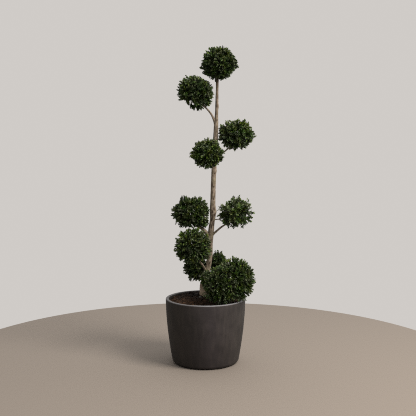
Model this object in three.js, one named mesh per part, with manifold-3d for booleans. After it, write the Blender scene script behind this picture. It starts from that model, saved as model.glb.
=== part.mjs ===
// Potted multiball topiary: clipped evergreen balls on short boughs round one leaning trunk, in a round pot.
// Millimetres, +Z up. The origin is the centre of the pot's flat underside, and the front is at -Y.
import * as THREE from 'three';
import { mergeVertices } from 'three/addons/utils/BufferGeometryUtils.js';
import Module from 'manifold-3d';

const wasm = await Module();
wasm.setup();

// Clearance that neighbouring pieces keep
const GAP = 0.3;

// Pot: outer sizes, wall, and the curve of its side
const POT_HEIGHT = 372;
const RIM_RADIUS = 230;
const BASE_RADIUS = 160;
const HEEL_RADIUS = 194;
const HEEL_HEIGHT = 22;
const SIDE_SWELL = 1.8;
const POT_WALL = 18;
const FLOOR_RADIUS = 156;
const POT_SIDES = 32;
const OUTER_HEIGHTS = [70, 120, 180, 245, 310];
const INNER_HEIGHTS = [70, 180, 300];

// Soil: its level at the wall, and the low mound with a flat top that the trunk stands on
const SOIL_AT_WALL = 349;
const SOIL_AT_TRUNK = 374;
const MOUND_TOP_RADIUS = 42;
const MOUND_REACH = 175;
const SOIL_FIT = 0.8;

// Trunk: its foot on the soil, its tip under the top ball, and how it leans between them
const TRUNK_FOOT = SOIL_AT_TRUNK + GAP;
const TRUNK_TIP = 1619;
const TRUNK_SIDES = 10;
const TRUNK_STEPS = 46;
const FLARE_RADIUS = 9;
const FLARE_HEIGHT = 34;
const ROOT_RIDGES = 5;
const KNOT_SWELL = 2.6;
const KNOT_SPAN = 11;
// Axis of the trunk at a few heights, with its radius there
const TRUNK_AXIS = [
  { at: [-9, 70, TRUNK_FOOT], radius: 22 },
  { at: [-12, 66, 432], radius: 20.5 },
  { at: [8, 57, 510], radius: 16.2 },
  { at: [24.5, 47, 610], radius: 15.8 },
  { at: [28, 42, 680], radius: 15 },
  { at: [33.5, 36, 765], radius: 16.5 },
  { at: [40, 33, 817], radius: 14.6 },
  { at: [43, 31, 866], radius: 18.2 },
  { at: [42.5, 28, 912], radius: 15.6 },
  { at: [44, 22, 1000], radius: 14.2 },
  { at: [46.5, 18, 1075], radius: 14.3 },
  { at: [59.5, 8, 1345], radius: 12.8 },
  { at: [61.5, 6, 1395], radius: 11.2 },
  { at: [63, 5, 1425], radius: 9.2 },
  { at: [64.5, 3, 1480], radius: 8.7 },
  { at: [66, 1, 1560], radius: 7.7 },
  { at: [67, 0, TRUNK_TIP], radius: 9.2 },
];
// Old pruning knots: height, and the direction that each faces
const KNOTS = [
  { height: 870, facing: -0.6 },
  { height: 1105, facing: 0.2 },
  { height: 1471, facing: -0.4 },
];

// Foliage balls: centre and half sizes of the space that each keeps to
const BALLS = {
  top: [{ centre: [81, 0, 1712], half: [109, 108, 101] }],
  upper_left: [{ centre: [-56, -20, 1548], half: [106, 104, 99] }],
  upper_right: [{ centre: [176, 30, 1313], half: [107, 103, 90] }],
  middle: [{ centre: [13, -106, 1204], half: [98, 98, 86] }],
  lower_left: [
    { centre: [-86, 20, 870], half: [109, 105, 92] },
    { centre: [-12, 20, 808], half: [34, 38, 36] },
  ],
  lower_right: [{ centre: [174, 30, 867], half: [104, 101, 93] }],
  low_left: [{ centre: [-71, -55, 682], half: [108, 105, 100] }],
  back_left: [{ centre: [-52, 114, 527], half: [82, 77, 76] }],
  back_right: [{ centre: [76, 142, 560], half: [67, 70, 72] }],
  front: [
    { centre: [163, -88, 498], half: [118, 114, 124] },
    { centre: [94, -125, 471], half: [106, 106, 107] },
    { centre: [10, -6, 480], half: [49, 46, 57] },
  ],
};

// Boughs: the ball that each carries, its height on the trunk, the point it bends by, its tip and radii
const BOUGHS = [
  { name: 'upper_left', root: 1332, bend: [58, 3, 1426], tip: [-22, -14, 1480], thick: 7.2, thin: 4.2 },
  { name: 'upper_right', root: 1150, bend: [75, 18, 1192], tip: [138, 28, 1238], thick: 5.4, thin: 3.6 },
  { name: 'middle', root: 1142, bend: [42, 2, 1150], tip: [33, -29, 1169], thick: 6, thin: 4.6 },
  { name: 'lower_left', root: 706, bend: [-10, 34, 782], tip: [-60, 22, 788], thick: 13, thin: 6.5 },
  { name: 'lower_right', root: 722, bend: [72, 36, 768], tip: [119, 32, 797], thick: 6.5, thin: 4.8 },
  { name: 'low_left', root: 508, bend: [-6, 38, 545], tip: [-41, -14, 594], thick: 7.4, thin: 5 },
  { name: 'back_left', root: 446, bend: [-18, 84, 458], tip: [-40, 100, 475], thick: 6.6, thin: 4.6 },
  { name: 'back_right', root: 462, bend: [36, 86, 470], tip: [62, 116, 506], thick: 6.2, thin: 4.4 },
  { name: 'front', root: 404, bend: [22, 10, 412], tip: [60, -48, 432], thick: 10, thin: 7.5 },
];
const BOUGH_SIDES = 7;
const BOUGH_STEPS = 8;
const COLLAR_SWELL = 0.35;
const COLLAR_SHARE = 0.14;
// The little level shoot that runs from the trunk into the lower right ball
const SHOOT = {
  name: 'lower_right_shoot', root: 820, bend: [62, 33, 824], tip: [84, 32, 827], thick: 3.2, thin: 2.3,
};

// Foliage: the clipped core, the twigs that branch inside it, and the leaves that stand out of it
const CORE_SHARE = 0.81;
const CORE_LUMPS = 0.025;
const MAIN_TWIGS = 7;
const MAIN_TWIG_SHARE = 0.5;
const TWIG_SHARE = 0.93;
const TWIG_SPACING = 104;
const TWIG_JITTER = 0.3;
const TWIG_RADIUS = 4;
const FINE_TWIG_RADIUS = 3.2;
const LEAVES_PER_TWIG = 3;
const LONGEST_LEAF = 50;
const LEAF_WIDTH = 25;
const LEAF_THICKNESS = 4;
const LEAF_SPREAD = 0.5;
const LEAF_APART = 0.3;
const LEAF_TURN = 0.8;
const LEAF_ROOT_SHARE = 0.69;
const LEAF_UNEVEN = 0.09;
const LIMB_MARGIN = 1.5;

const vector = (a) => new THREE.Vector3(...a);

// Seeded random numbers from 0 to 1, so that the plant is the same each time
function seeded(seed) {
  let state = seed;
  return () => {
    state = (state + 0x6d2b79f5) | 0;
    let t = Math.imul(state ^ (state >>> 15), 1 | state);
    t = (t + Math.imul(t ^ (t >>> 7), 61 | t)) ^ t;
    return ((t ^ (t >>> 14)) >>> 0) / 4294967296;
  };
}

// Closed geometry to solid, without the seams and the faces that have no area
function toSolid(geometry) {
  const bare = geometry.clone();
  bare.deleteAttribute('normal');
  bare.deleteAttribute('uv');
  const merged = mergeVertices(bare, 1e-3);
  const index = merged.index.array;
  const faces = [];
  for (let i = 0; i < index.length; i += 3) {
    const [a, b, c] = [index[i], index[i + 1], index[i + 2]];
    if (a !== b && b !== c && c !== a) faces.push(a, b, c);
  }
  const vertProperties = new Float32Array(merged.attributes.position.array);
  return new wasm.Manifold(new wasm.Mesh({ numProp: 3, vertProperties, triVerts: new Uint32Array(faces) }));
}

// The one outer body of a solid: loose scraps are dropped and sealed hollows filled
function outerBody(solid) {
  return solid.decompose().sort((a, b) => b.volume() - a.volume())[0];
}

function toGeometry(solid) {
  const { vertProperties, triVerts } = solid.getMesh();
  const geometry = new THREE.BufferGeometry();
  geometry.setAttribute('position', new THREE.BufferAttribute(vertProperties, 3));
  geometry.setIndex(new THREE.BufferAttribute(triVerts, 1));
  geometry.computeVertexNormals();
  return geometry;
}

// Tapering limb: a closed cylinder bent along a curve, its radius a function of the way along and round it.
// With level set, its sections stay horizontal. Grow makes it thicker and longer all round.
function limb(curve, radiusAt, sides, steps, { level = false, grow = 0 } = {}) {
  const geometry = new THREE.CylinderGeometry(1, 1, 1, sides, steps);
  const frames = curve.computeFrenetFrames(steps);
  const position = geometry.attributes.position;
  for (let i = 0; i < position.count; i++) {
    const t = position.getY(i) + 0.5;
    const row = Math.round(t * steps);
    const across = level ? vector([1, 0, 0]) : frames.normals[row];
    const along = level ? vector([0, 0, 1]) : frames.tangents[row];
    const over = across.clone().cross(along);
    const [x, z] = [position.getX(i), position.getZ(i)];
    const radius = radiusAt(t, Math.atan2(-z, x)) + grow;
    const longer = grow * ((row === steps) - (row === 0));
    const point = curve.getPointAt(t).addScaledVector(across, x * radius);
    point.addScaledVector(over, z * radius).addScaledVector(along, longer);
    position.setXYZ(i, point.x, point.y, point.z);
  }
  return geometry;
}

// Trunk
const trunkCurve = new THREE.CatmullRomCurve3(TRUNK_AXIS.map((p) => vector(p.at)), false, 'centripetal');

// Place on the trunk's axis at a height
function onTrunk(height) {
  let [low, high] = [0, 1];
  for (let i = 0; i < 30; i++) {
    const middle = (low + high) / 2;
    if (trunkCurve.getPointAt(middle).z < height) low = middle;
    else high = middle;
  }
  return trunkCurve.getPointAt(low);
}

// Radius by height between the stated ones, plus the ridged flare at the foot and the knots
function trunkRadius(height, angle) {
  const above = Math.max(1, TRUNK_AXIS.findIndex((p) => p.at[2] >= height - 1e-6));
  const [a, b] = [TRUNK_AXIS[above - 1], TRUNK_AXIS[above]];
  const share = (height - a.at[2]) / (b.at[2] - a.at[2]);
  const plain = a.radius + (b.radius - a.radius) * share;
  const foot = Math.exp(-(height - TRUNK_FOOT) / FLARE_HEIGHT);
  const ridges = 0.7 + 0.3 * Math.cos(ROOT_RIDGES * angle + 0.6);
  const knots = KNOTS.map((knot) => {
    const side = Math.max(0, Math.cos(angle - knot.facing));
    return KNOT_SWELL * side * Math.exp(-(((height - knot.height) / KNOT_SPAN) ** 2));
  });
  return plain + FLARE_RADIUS * foot * ridges + knots.reduce((sum, k) => sum + k, 0);
}

function trunkGeometry(grow = 0) {
  const radiusAt = (t, angle) => trunkRadius(Math.min(trunkCurve.getPointAt(t).z, TRUNK_TIP), angle);
  return limb(trunkCurve, radiusAt, TRUNK_SIDES, TRUNK_STEPS, { level: true, grow });
}

// Boughs: each starts on the trunk's axis, and the trunk's own room is cut out of it
const trunkRoom = toSolid(trunkGeometry(GAP));

function boughCurve({ root, bend, tip }) {
  return new THREE.QuadraticBezierCurve3(onTrunk(root), vector(bend), vector(tip));
}

function boughGeometry(bough, grow = 0) {
  const { thick, thin } = bough;
  const collar = (t) => COLLAR_SWELL * thick * Math.exp(-t / COLLAR_SHARE);
  const radiusAt = (t) => thin + (thick - thin) * (1 - t) + collar(t);
  return limb(boughCurve(bough), radiusAt, BOUGH_SIDES, BOUGH_STEPS, { grow });
}

// Limbs as chains of points with a radius, to test what comes near them
function chain(curve, radiusAt, count) {
  return Array.from({ length: count + 1 }, (_, i) => {
    const point = curve.getPointAt(i / count);
    return { point, radius: radiusAt(i / count, point.z) + LIMB_MARGIN };
  });
}
const limbPoints = [
  ...chain(trunkCurve, (t, z) => trunkRadius(Math.min(z, TRUNK_TIP), 0), 150),
  ...[...BOUGHS, SHOOT].flatMap((bough) => chain(boughCurve(bough), () => bough.thick, 24)),
];
const touchesLimb = (point) => limbPoints.some((p) => p.point.distanceTo(point) < p.radius);

// Scaled distance from a lobe's centre: 1 on the edge of its space
function scaled(point, lobe) {
  return point.clone().sub(vector(lobe.centre)).divide(vector(lobe.half)).length();
}
const inLobes = (point, lobes, share = 1) => lobes.some((lobe) => scaled(point, lobe) < share);

// A point is free for a mass inside its own space, outside the others', and off every limb
function isFree(point, name) {
  const taken = Object.keys(BALLS).some((other) => other !== name && inLobes(point, BALLS[other], 1.01));
  return inLobes(point, BALLS[name]) && !taken && !touchesLimb(point);
}

// Evenly spread directions on a sphere, each with a little seeded jitter
function spread(count, random, jitter) {
  const golden = Math.PI * (3 - Math.sqrt(5));
  const turn = random() * Math.PI * 2;
  return Array.from({ length: count }, (_, i) => {
    const z = 1 - (2 * i + 1) / count;
    const r = Math.sqrt(1 - z * z);
    const around = golden * i + turn;
    const shift = vector([random() - 0.5, random() - 0.5, random() - 0.5]).multiplyScalar(jitter);
    return vector([r * Math.cos(around), r * Math.sin(around), z]).add(shift).normalize();
  });
}

const inLobe = (lobe, direction, share) => vector(lobe.centre).addScaledVector(
  direction.clone().multiply(vector(lobe.half)), share);

// Distance from a point inside a lobe to the edge of its space, along a direction
function reachTo(lobe, from, direction) {
  const a = direction.clone().divide(vector(lobe.half));
  const b = from.clone().sub(vector(lobe.centre)).divide(vector(lobe.half));
  const [aa, ab, bb] = [a.dot(a), a.dot(b), b.dot(b)];
  return (Math.sqrt(ab * ab - aa * (bb - 1)) - ab) / aa;
}

function placed(geometry, from, direction, spin = 0) {
  geometry.rotateY(spin);
  geometry.applyQuaternion(new THREE.Quaternion().setFromUnitVectors(new THREE.Vector3(0, 1, 0), direction));
  return geometry.translate(from.x, from.y, from.z);
}

// Three-sided twig from one point to another
function twig(from, to, rootRadius, tipRadius) {
  const direction = to.clone().sub(from);
  const length = direction.length();
  const geometry = new THREE.CylinderGeometry(tipRadius, rootRadius, length, 3, 1);
  return placed(geometry.translate(0, length / 2, 0), from, direction.normalize());
}

// Leaf of eight faces: a long flat diamond that starts at its root
function leaf(from, direction, spin, length) {
  const geometry = new THREE.OctahedronGeometry(0.5, 0).translate(0, 0.5, 0);
  geometry.scale(LEAF_WIDTH, length, LEAF_THICKNESS);
  return placed(geometry, from, direction, spin);
}

function corners(geometry) {
  const { position } = geometry.attributes;
  return Array.from({ length: position.count }, (_, i) => vector([0, 0, 0]).fromBufferAttribute(position, i));
}

// Clipped core of one lobe: a closed ball with low lumps
function core(lobe, phase) {
  const geometry = new THREE.IcosahedronGeometry(1, 2);
  const position = geometry.attributes.position;
  for (let i = 0; i < position.count; i++) {
    const p = new THREE.Vector3().fromBufferAttribute(position, i).normalize();
    const lump = Math.sin(5 * p.x + phase) * Math.sin(4 * p.y + 2 * phase) * Math.sin(5 * p.z - phase);
    p.multiply(vector(lobe.half)).multiplyScalar(CORE_SHARE * (1 + CORE_LUMPS * lump));
    p.add(vector(lobe.centre));
    position.setXYZ(i, p.x, p.y, p.z);
  }
  return geometry;
}

// Leaves round the end of one twig, splayed out from its direction
function leavesOn(name, lobe, direction, random) {
  const side = new THREE.Vector3(0.3, 0.5, 0.81).cross(direction).normalize();
  const turn = random() * Math.PI * 2;
  return Array.from({ length: LEAVES_PER_TWIG }, (_, i) => {
    const around = turn + (i * Math.PI * 2) / LEAVES_PER_TWIG + (random() - 0.5) * LEAF_TURN;
    const out = side.clone().applyAxisAngle(direction, around);
    const towards = direction.clone().addScaledVector(out, LEAF_APART).normalize();
    const root = inLobe(lobe, towards, LEAF_ROOT_SHARE);
    const lean = direction.clone().addScaledVector(out, LEAF_SPREAD * (0.5 + random())).normalize();
    const length = Math.min(LONGEST_LEAF, reachTo(lobe, root, lean) * (1 - LEAF_UNEVEN * random()));
    return leaf(root, lean, random() * Math.PI, length);
  }).filter((geometry) => corners(geometry).every((p) => isFree(p, name)));
}

// One mass: stem, main twigs, finer twigs from the nearest main twig's end, leaves and core, all fused
function mass(name, stemRoot, stemRadius, random) {
  const lobes = BALLS[name];
  const pieces = [];
  lobes.forEach((lobe, number) => {
    const centre = vector(lobe.centre);
    pieces.push(core(lobe, random() * Math.PI * 2));
    pieces.push(twig(number ? vector(lobes[0].centre) : stemRoot, centre, stemRadius, TWIG_RADIUS));
    const mains = spread(MAIN_TWIGS, random, TWIG_JITTER).map((d) => inLobe(lobe, d, MAIN_TWIG_SHARE));
    mains.forEach((end) => pieces.push(twig(centre, end, TWIG_RADIUS, FINE_TWIG_RADIUS)));
    const area = 4 * Math.PI * lobe.half[0] * lobe.half[2];
    const others = lobes.filter((other) => other !== lobe);
    spread(Math.round(area / TWIG_SPACING ** 2), random, TWIG_JITTER).forEach((direction) => {
      const tip = inLobe(lobe, direction, TWIG_SHARE);
      if (inLobes(tip, others, CORE_SHARE)) return;
      const from = mains.reduce((best, end) => (end.distanceTo(tip) < best.distanceTo(tip) ? end : best));
      if (isFree(tip, name)) pieces.push(twig(from, tip, FINE_TWIG_RADIUS, 0));
      pieces.push(...leavesOn(name, lobe, direction, random));
    });
  });
  return pieces.map(toSolid).reduce((whole, piece) => whole.add(piece));
}

// Pot: outer side with a rounded heel, rounded lip, inner wall and floor, turned on the axis
function potRadius(z) {
  const share = Math.min(1, Math.max(0, (POT_HEIGHT - z) / (POT_HEIGHT - HEEL_HEIGHT)));
  return RIM_RADIUS - (RIM_RADIUS - HEEL_RADIUS) * share ** SIDE_SWELL;
}

function potGeometry() {
  const lip = POT_WALL / 2;
  const profile = [[0, 0]];
  for (let i = 0; i <= 4; i++) {
    const turn = (i / 4) * (Math.PI / 2);
    const out = (HEEL_RADIUS - BASE_RADIUS) * Math.sin(turn);
    profile.push([BASE_RADIUS + out, HEEL_HEIGHT * (1 - Math.cos(turn))]);
  }
  [...OUTER_HEIGHTS, POT_HEIGHT - lip].forEach((z) => profile.push([potRadius(z), z]));
  for (let i = 1; i <= 4; i++) {
    const turn = (i / 4) * Math.PI;
    profile.push([RIM_RADIUS - lip + lip * Math.cos(turn), POT_HEIGHT - lip + lip * Math.sin(turn)]);
  }
  [...INNER_HEIGHTS].reverse().forEach((z) => profile.push([potRadius(z) - POT_WALL, z]));
  profile.push([FLOOR_RADIUS, POT_WALL], [0, POT_WALL]);
  return new THREE.LatheGeometry(profile.map(([r, z]) => new THREE.Vector2(r, z)), POT_SIDES);
}

// Soil: fills the pot, its top raised into the mound round the trunk's foot
function soilTop(x, y) {
  const away = Math.hypot(x - TRUNK_AXIS[0].at[0], y - TRUNK_AXIS[0].at[1]) - MOUND_TOP_RADIUS;
  const share = Math.min(1, Math.max(0, away / MOUND_REACH));
  return SOIL_AT_WALL + (SOIL_AT_TRUNK - SOIL_AT_WALL) * (0.5 + 0.5 * Math.cos(Math.PI * share));
}

function soilGeometry() {
  const room = (z) => potRadius(z) - POT_WALL - SOIL_FIT;
  const bottom = POT_WALL + GAP;
  const profile = [[0, bottom], [FLOOR_RADIUS - SOIL_FIT, bottom]];
  INNER_HEIGHTS.forEach((z) => profile.push([room(z), z]));
  [1, 0.8, 0.6, 0.4, 0.2, 0].forEach((share) => profile.push([room(SOIL_AT_WALL) * share, SOIL_AT_WALL]));
  const geometry = new THREE.LatheGeometry(profile.map(([r, z]) => new THREE.Vector2(r, z)), POT_SIDES);
  const position = geometry.attributes.position;
  for (let i = 0; i < position.count; i++) {
    if (position.getY(i) < SOIL_AT_WALL - 1) continue;
    position.setY(i, soilTop(position.getX(i), -position.getZ(i)));
  }
  return geometry;
}

const potMaterial = new THREE.MeshStandardMaterial({ color: 0x3a3634, roughness: 0.85, metalness: 0 });
const soilMaterial = new THREE.MeshStandardMaterial({ color: 0x2a1d14, roughness: 1, metalness: 0 });
const barkMaterial = new THREE.MeshStandardMaterial({ color: 0x77695a, roughness: 0.9, metalness: 0 });
const leafMaterial = new THREE.MeshStandardMaterial({ color: 0x28301a, roughness: 0.7, metalness: 0 });

const group = new THREE.Group();

function addMesh(name, geometry, material) {
  const mesh = new THREE.Mesh(geometry, material.clone());
  mesh.name = name;
  group.add(mesh);
  return mesh;
}

// Turned shapes come with their axis along Y, and stand up along Z
addMesh('pot', potGeometry(), potMaterial).rotation.x = Math.PI / 2;
addMesh('soil', soilGeometry(), soilMaterial).rotation.x = Math.PI / 2;
addMesh('trunk', trunkGeometry(), barkMaterial);

// Each bough loses the trunk's room, and each mass loses the room of the limb that carries it
const limbRooms = { top: trunkRoom };
const stems = { top: { root: vector(TRUNK_AXIS.at(-1).at), radius: TRUNK_AXIS.at(-1).radius } };
[...BOUGHS, SHOOT].forEach((bough) => {
  const solid = outerBody(toSolid(boughGeometry(bough)).subtract(trunkRoom));
  addMesh(`bough_${bough.name}`, toGeometry(solid), barkMaterial);
  limbRooms[bough.name] = toSolid(boughGeometry(bough, GAP));
  stems[bough.name] = { root: vector(bough.tip), radius: bough.thin };
});
Object.keys(BALLS).forEach((name, number) => {
  const grown = mass(name, stems[name].root, stems[name].radius, seeded(101 + number));
  addMesh(`foliage_${name}`, toGeometry(outerBody(grown.subtract(limbRooms[name]))), leafMaterial);
});

export default group;
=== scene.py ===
# %% [markdown]
# # A potted multiball topiary, dressed over its solid model
# The real plant is a clipped evergreen. One bare trunk leans out of a charcoal fibre clay pot, and short
# boughs carry separate balls of dense dark leaves. The solid model says where everything is. This lesson
# puts the real surfaces on it: the cast pot, moist compost, fissured bark, and tens of thousands of small
# leaves on twigs. Everything is worked out with numpy and handed to Blender as finished meshes.

# %% Load the frame that the solid model gives
import math

import bpy
import numpy as np
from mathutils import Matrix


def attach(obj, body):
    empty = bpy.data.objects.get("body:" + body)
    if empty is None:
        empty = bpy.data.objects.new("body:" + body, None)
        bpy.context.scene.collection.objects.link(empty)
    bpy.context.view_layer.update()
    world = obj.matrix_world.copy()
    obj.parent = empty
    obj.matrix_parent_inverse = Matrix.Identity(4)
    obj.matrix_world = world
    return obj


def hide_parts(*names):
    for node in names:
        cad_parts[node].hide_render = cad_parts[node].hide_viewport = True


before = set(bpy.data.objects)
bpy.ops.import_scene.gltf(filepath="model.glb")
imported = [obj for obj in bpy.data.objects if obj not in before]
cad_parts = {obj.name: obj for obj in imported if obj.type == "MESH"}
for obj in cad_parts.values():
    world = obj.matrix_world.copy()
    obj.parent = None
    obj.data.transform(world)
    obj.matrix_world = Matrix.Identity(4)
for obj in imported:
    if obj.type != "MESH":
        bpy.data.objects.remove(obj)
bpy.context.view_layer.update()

MM = 0.001

# %% [markdown]
# ## The camera
# The pot's rim is a circle, so how flat it looks gives the camera's height, and its width gives the distance.
# The lens is given by its focal length in pixels of the 416 pixel frame. The camera stands level with a
# grown-up's chest, about four metres away, and tips down by a few degrees.

# %% Camera from the photograph's measured geometry
FRAME_PX = 416
FOCAL_PX = 688
SENSOR_MM = 36
CAMERA_MM = (14.3, -3935, 1184)
CAMERA_PITCH = math.radians(4.24)

camera_data = bpy.data.cameras.new("camera")
camera_data.sensor_width = SENSOR_MM
camera_data.lens = FOCAL_PX / FRAME_PX * SENSOR_MM
camera = bpy.data.objects.new("camera", camera_data)
camera.location = [value * MM for value in CAMERA_MM]
camera.rotation_euler = (math.pi / 2 - CAMERA_PITCH, 0, 0)
bpy.context.collection.objects.link(camera)
bpy.context.scene.camera = camera
print("lens:", round(camera_data.lens, 2), "mm")

# %% [markdown]
# ## Meshes from arrays
# Every new surface here is a grid of points, or one small shape repeated many times. Both are arrays, so
# one helper turns an array of points and arrays of corners into a mesh. Another lists the quads of a grid
# that closes round itself, and a third closes the two ends of such a tube with a fan of triangles.

# %% Helpers that turn arrays into pieces
def add_piece(name, points, face_groups, material, slot, nodes, smooth=True):
    """A mesh of points in millimetres and groups of faces, each an array with one row of corners a face."""
    mesh = bpy.data.meshes.new(name)
    corners = np.concatenate([group.ravel() for group in face_groups]).astype(np.int32)
    sizes = np.concatenate([np.full(len(group), group.shape[1]) for group in face_groups])
    starts = np.concatenate([[0], np.cumsum(sizes)[:-1]]).astype(np.int32)
    mesh.vertices.add(len(points))
    mesh.vertices.foreach_set("co", (np.asarray(points) * MM).astype(np.float32).ravel())
    mesh.loops.add(len(corners))
    mesh.loops.foreach_set("vertex_index", corners)
    mesh.polygons.add(len(sizes))
    mesh.polygons.foreach_set("loop_start", starts)
    mesh.polygons.foreach_set("use_smooth", np.full(len(sizes), smooth))
    mesh.update(calc_edges=True)
    mesh.validate()
    mesh.materials.append(material)
    made = bpy.data.objects.new(name, mesh)
    bpy.context.collection.objects.link(made)
    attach(made, "root")
    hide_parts(*nodes)
    triangles = sum(len(group) * (group.shape[1] - 2) for group in face_groups)
    print(f"{name}: {len(points)} points, {triangles} triangles")
    return made


def round_quads(rows, around):
    """Quads between neighbouring rows of a grid whose rows close on themselves, facing out as rows rise."""
    row, column = np.meshgrid(np.arange(rows - 1), np.arange(around), indexing="ij")
    following = (column + 1) % around
    low, high = row * around, (row + 1) * around
    return np.stack([low + column, low + following, high + following, high + column], -1).reshape(-1, 4)


def closed_tube(rings):
    """Points and faces of stacked rings, with the middle of the first and last ring as the caps' centres."""
    rows, around, _ = rings.shape
    points = np.concatenate([rings.reshape(-1, 3), rings[[0, -1]].mean(axis=1)])
    column = np.arange(around)
    following = (column + 1) % around
    first, last = rows * around, rows * around + 1
    low_cap = np.stack([following, column, np.full(around, first)], -1)
    top = (rows - 1) * around
    high_cap = np.stack([top + column, top + following, np.full(around, last)], -1)
    return points, [round_quads(rows, around), np.concatenate([low_cap, high_cap])]


def even_turn(count):
    """Even angles round a full turn."""
    return np.linspace(0, 2 * np.pi, count, endpoint=False)


def turned_rings(radii, heights, around):
    """Rings round the upright axis, radius times cos and sin of the angle at each height, and those outward
    directions."""
    angle = even_turn(around)
    unit = np.stack([np.cos(angle), np.sin(angle), np.zeros(around)], -1)
    return radii[:, None, None] * unit + heights[:, None, None] * np.array([0, 0, 1]), unit


# %% [markdown]
# ## Smooth random relief
# Bark, compost and foliage are uneven in the same way: large soft bumps with smaller ones on them. Value
# noise gives that. It puts a random number on each corner of a lattice of cubes and blends between them.
# Every number comes from a hash of the corner's place, so the plant is the same each time it is made.

# %% Value noise in three dimensions
# large factors and shifts that scatter neighbouring corners, and the mask that keeps the lowest 28 bits
CORNER_FACTORS = (73856093, 19349663, 83492791)
SEED_FACTOR = 2654435
MIX_FACTOR = 1274126177
MIX_OFFSET = 12345
FIRST_SHIFT, LAST_SHIFT = 13, 11
LOW_BITS = 0xFFFFFFF


def lattice_value(cells, seed):
    """A number from -1 to 1 for each lattice corner: its whole coordinates and the seed, each times a large
    factor, joined bit by bit, shifted, multiplied and shifted again."""
    x, y, z = (cells[..., axis] * factor for axis, factor in enumerate(CORNER_FACTORS))
    mixed = x ^ y ^ z ^ seed * SEED_FACTOR
    mixed = (mixed ^ (mixed >> FIRST_SHIFT)) & LOW_BITS
    mixed = (mixed * MIX_FACTOR + MIX_OFFSET) & LOW_BITS
    return (mixed ^ (mixed >> LAST_SHIFT)) / LOW_BITS * 2 - 1


def noise(points, size, seed):
    """Smoothly blended lattice values at points, with lattice cubes of the given size."""
    scaled = np.asarray(points) / size
    cell = np.floor(scaled).astype(np.int64)
    part = scaled - cell
    part = part * part * (3 - 2 * part)
    total = 0
    for corner in np.ndindex(2, 2, 2):
        weight = np.prod(np.where(np.array(corner) == 1, part, 1 - part), axis=-1)
        total = total + weight * lattice_value(cell + np.array(corner), seed)
    return total


def fractal(points, size, octaves, seed):
    """Noise plus half as much at half the size, and so on."""
    return sum(noise(points, size / 2 ** k, seed + k) / 2 ** k for k in range(octaves))


print("noise sample:", np.round(noise(np.array([[1.5, 2.5, 3.5]]), 2, 1), 3))

# %% [markdown]
# ## Materials
# One function turns the colours that people read, sRGB hex values, into the linear light that Blender works
# with. Another adds a node with its settings and links in one line. Surfaces outdoors carry tints and films
# that change slowly from place to place, and some painted shade and painted highlights here do the same.
# Painting them would need an image, so two more functions lay them over a colour by a plain measure, such as
# a height, a distance or a noise.

# %% Colour and node helpers
def linear(hex_colour):
    """sRGB hex to linear: each channel over 255, then the sRGB curve undone."""
    channels = np.array([int(hex_colour[i:i + 2], 16) for i in (1, 3, 5)]) / 255
    straight = np.where(channels <= 0.04045, channels / 12.92, ((channels + 0.055) / 1.055) ** 2.4)
    return (*straight.tolist(), 1.0)


def set_node(tree, node, settings=None, links=None):
    """Attribute or socket values from settings, and sockets linked from other outputs, or from whole nodes by
    the first output that they have in use. The setting stops fills a colour ramp from places and colours."""
    for key, value in (settings or {}).items():
        if key == "stops":
            elements = node.color_ramp.elements
            for number, (position, colour) in enumerate(value):
                element = elements[number] if number < 2 else elements.new(position)
                element.position = position
                element.color = linear(colour)
        elif isinstance(key, str) and hasattr(node, key):
            setattr(node, key, value)
        else:
            node.inputs[key].default_value = value
    for key, source in (links or {}).items():
        if isinstance(source, bpy.types.Node):
            source = next(socket for socket in source.outputs if socket.enabled)
        tree.links.new(source, node.inputs[key])
    return node


def add_node(tree, kind, settings=None, links=None):
    """A new node of a kind, with its settings and links."""
    return set_node(tree, tree.nodes.new(kind), settings, links)


def new_material(name):
    """A node material, with its tree, its Principled shader and the place on the object in metres."""
    material = bpy.data.materials.new(name)
    material.use_nodes = True
    tree = material.node_tree
    place = add_node(tree, "ShaderNodeTexCoord").outputs["Object"]
    return material, tree, tree.nodes["Principled BSDF"], place


def tinted(tree, colour, measure, start, end, stops):
    """The colour times the tint that the stops give, while the measure goes from start to end."""
    share = add_node(tree, "ShaderNodeMapRange", {"From Min": start, "From Max": end}, {"Value": measure})
    tint = add_node(tree, "ShaderNodeValToRGB", {"stops": stops}, {"Fac": share})
    return add_node(tree, "ShaderNodeMix", {"data_type": "RGBA", "blend_type": "MULTIPLY", "Factor": 1.0},
                    {"A": colour, "B": tint})


def covered(tree, colour, measure, start, end, most, cover):
    """The colour under a cover, whose share grows from 0 to most while the measure goes from start to end."""
    share = add_node(tree, "ShaderNodeMapRange", {"From Min": start, "From Max": end, "To Max": most},
                     {"Value": measure})
    return add_node(tree, "ShaderNodeMix", {"data_type": "RGBA", "B": linear(cover)},
                    {"Factor": share, "A": colour})


print("pure red in linear light:", linear("#ff0000"))

# %% [markdown]
# ### Fibre clay
# The pot is cast from clay, cement and glass fibre, then coloured charcoal and left matt. The eye gets a
# dry, slightly cloudy surface with a sandy grain. The grain is about a millimetre, and is drawn twice as
# coarse so that it shows. Two noises make these, one for the clouds and one for the grain.

# %% Fibre clay as it leaves the mould
CLAY_CLOUD_MM = 90
CLAY_GRAIN_MM = 2.2
GRAIN_SHARE = 0.2

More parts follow.
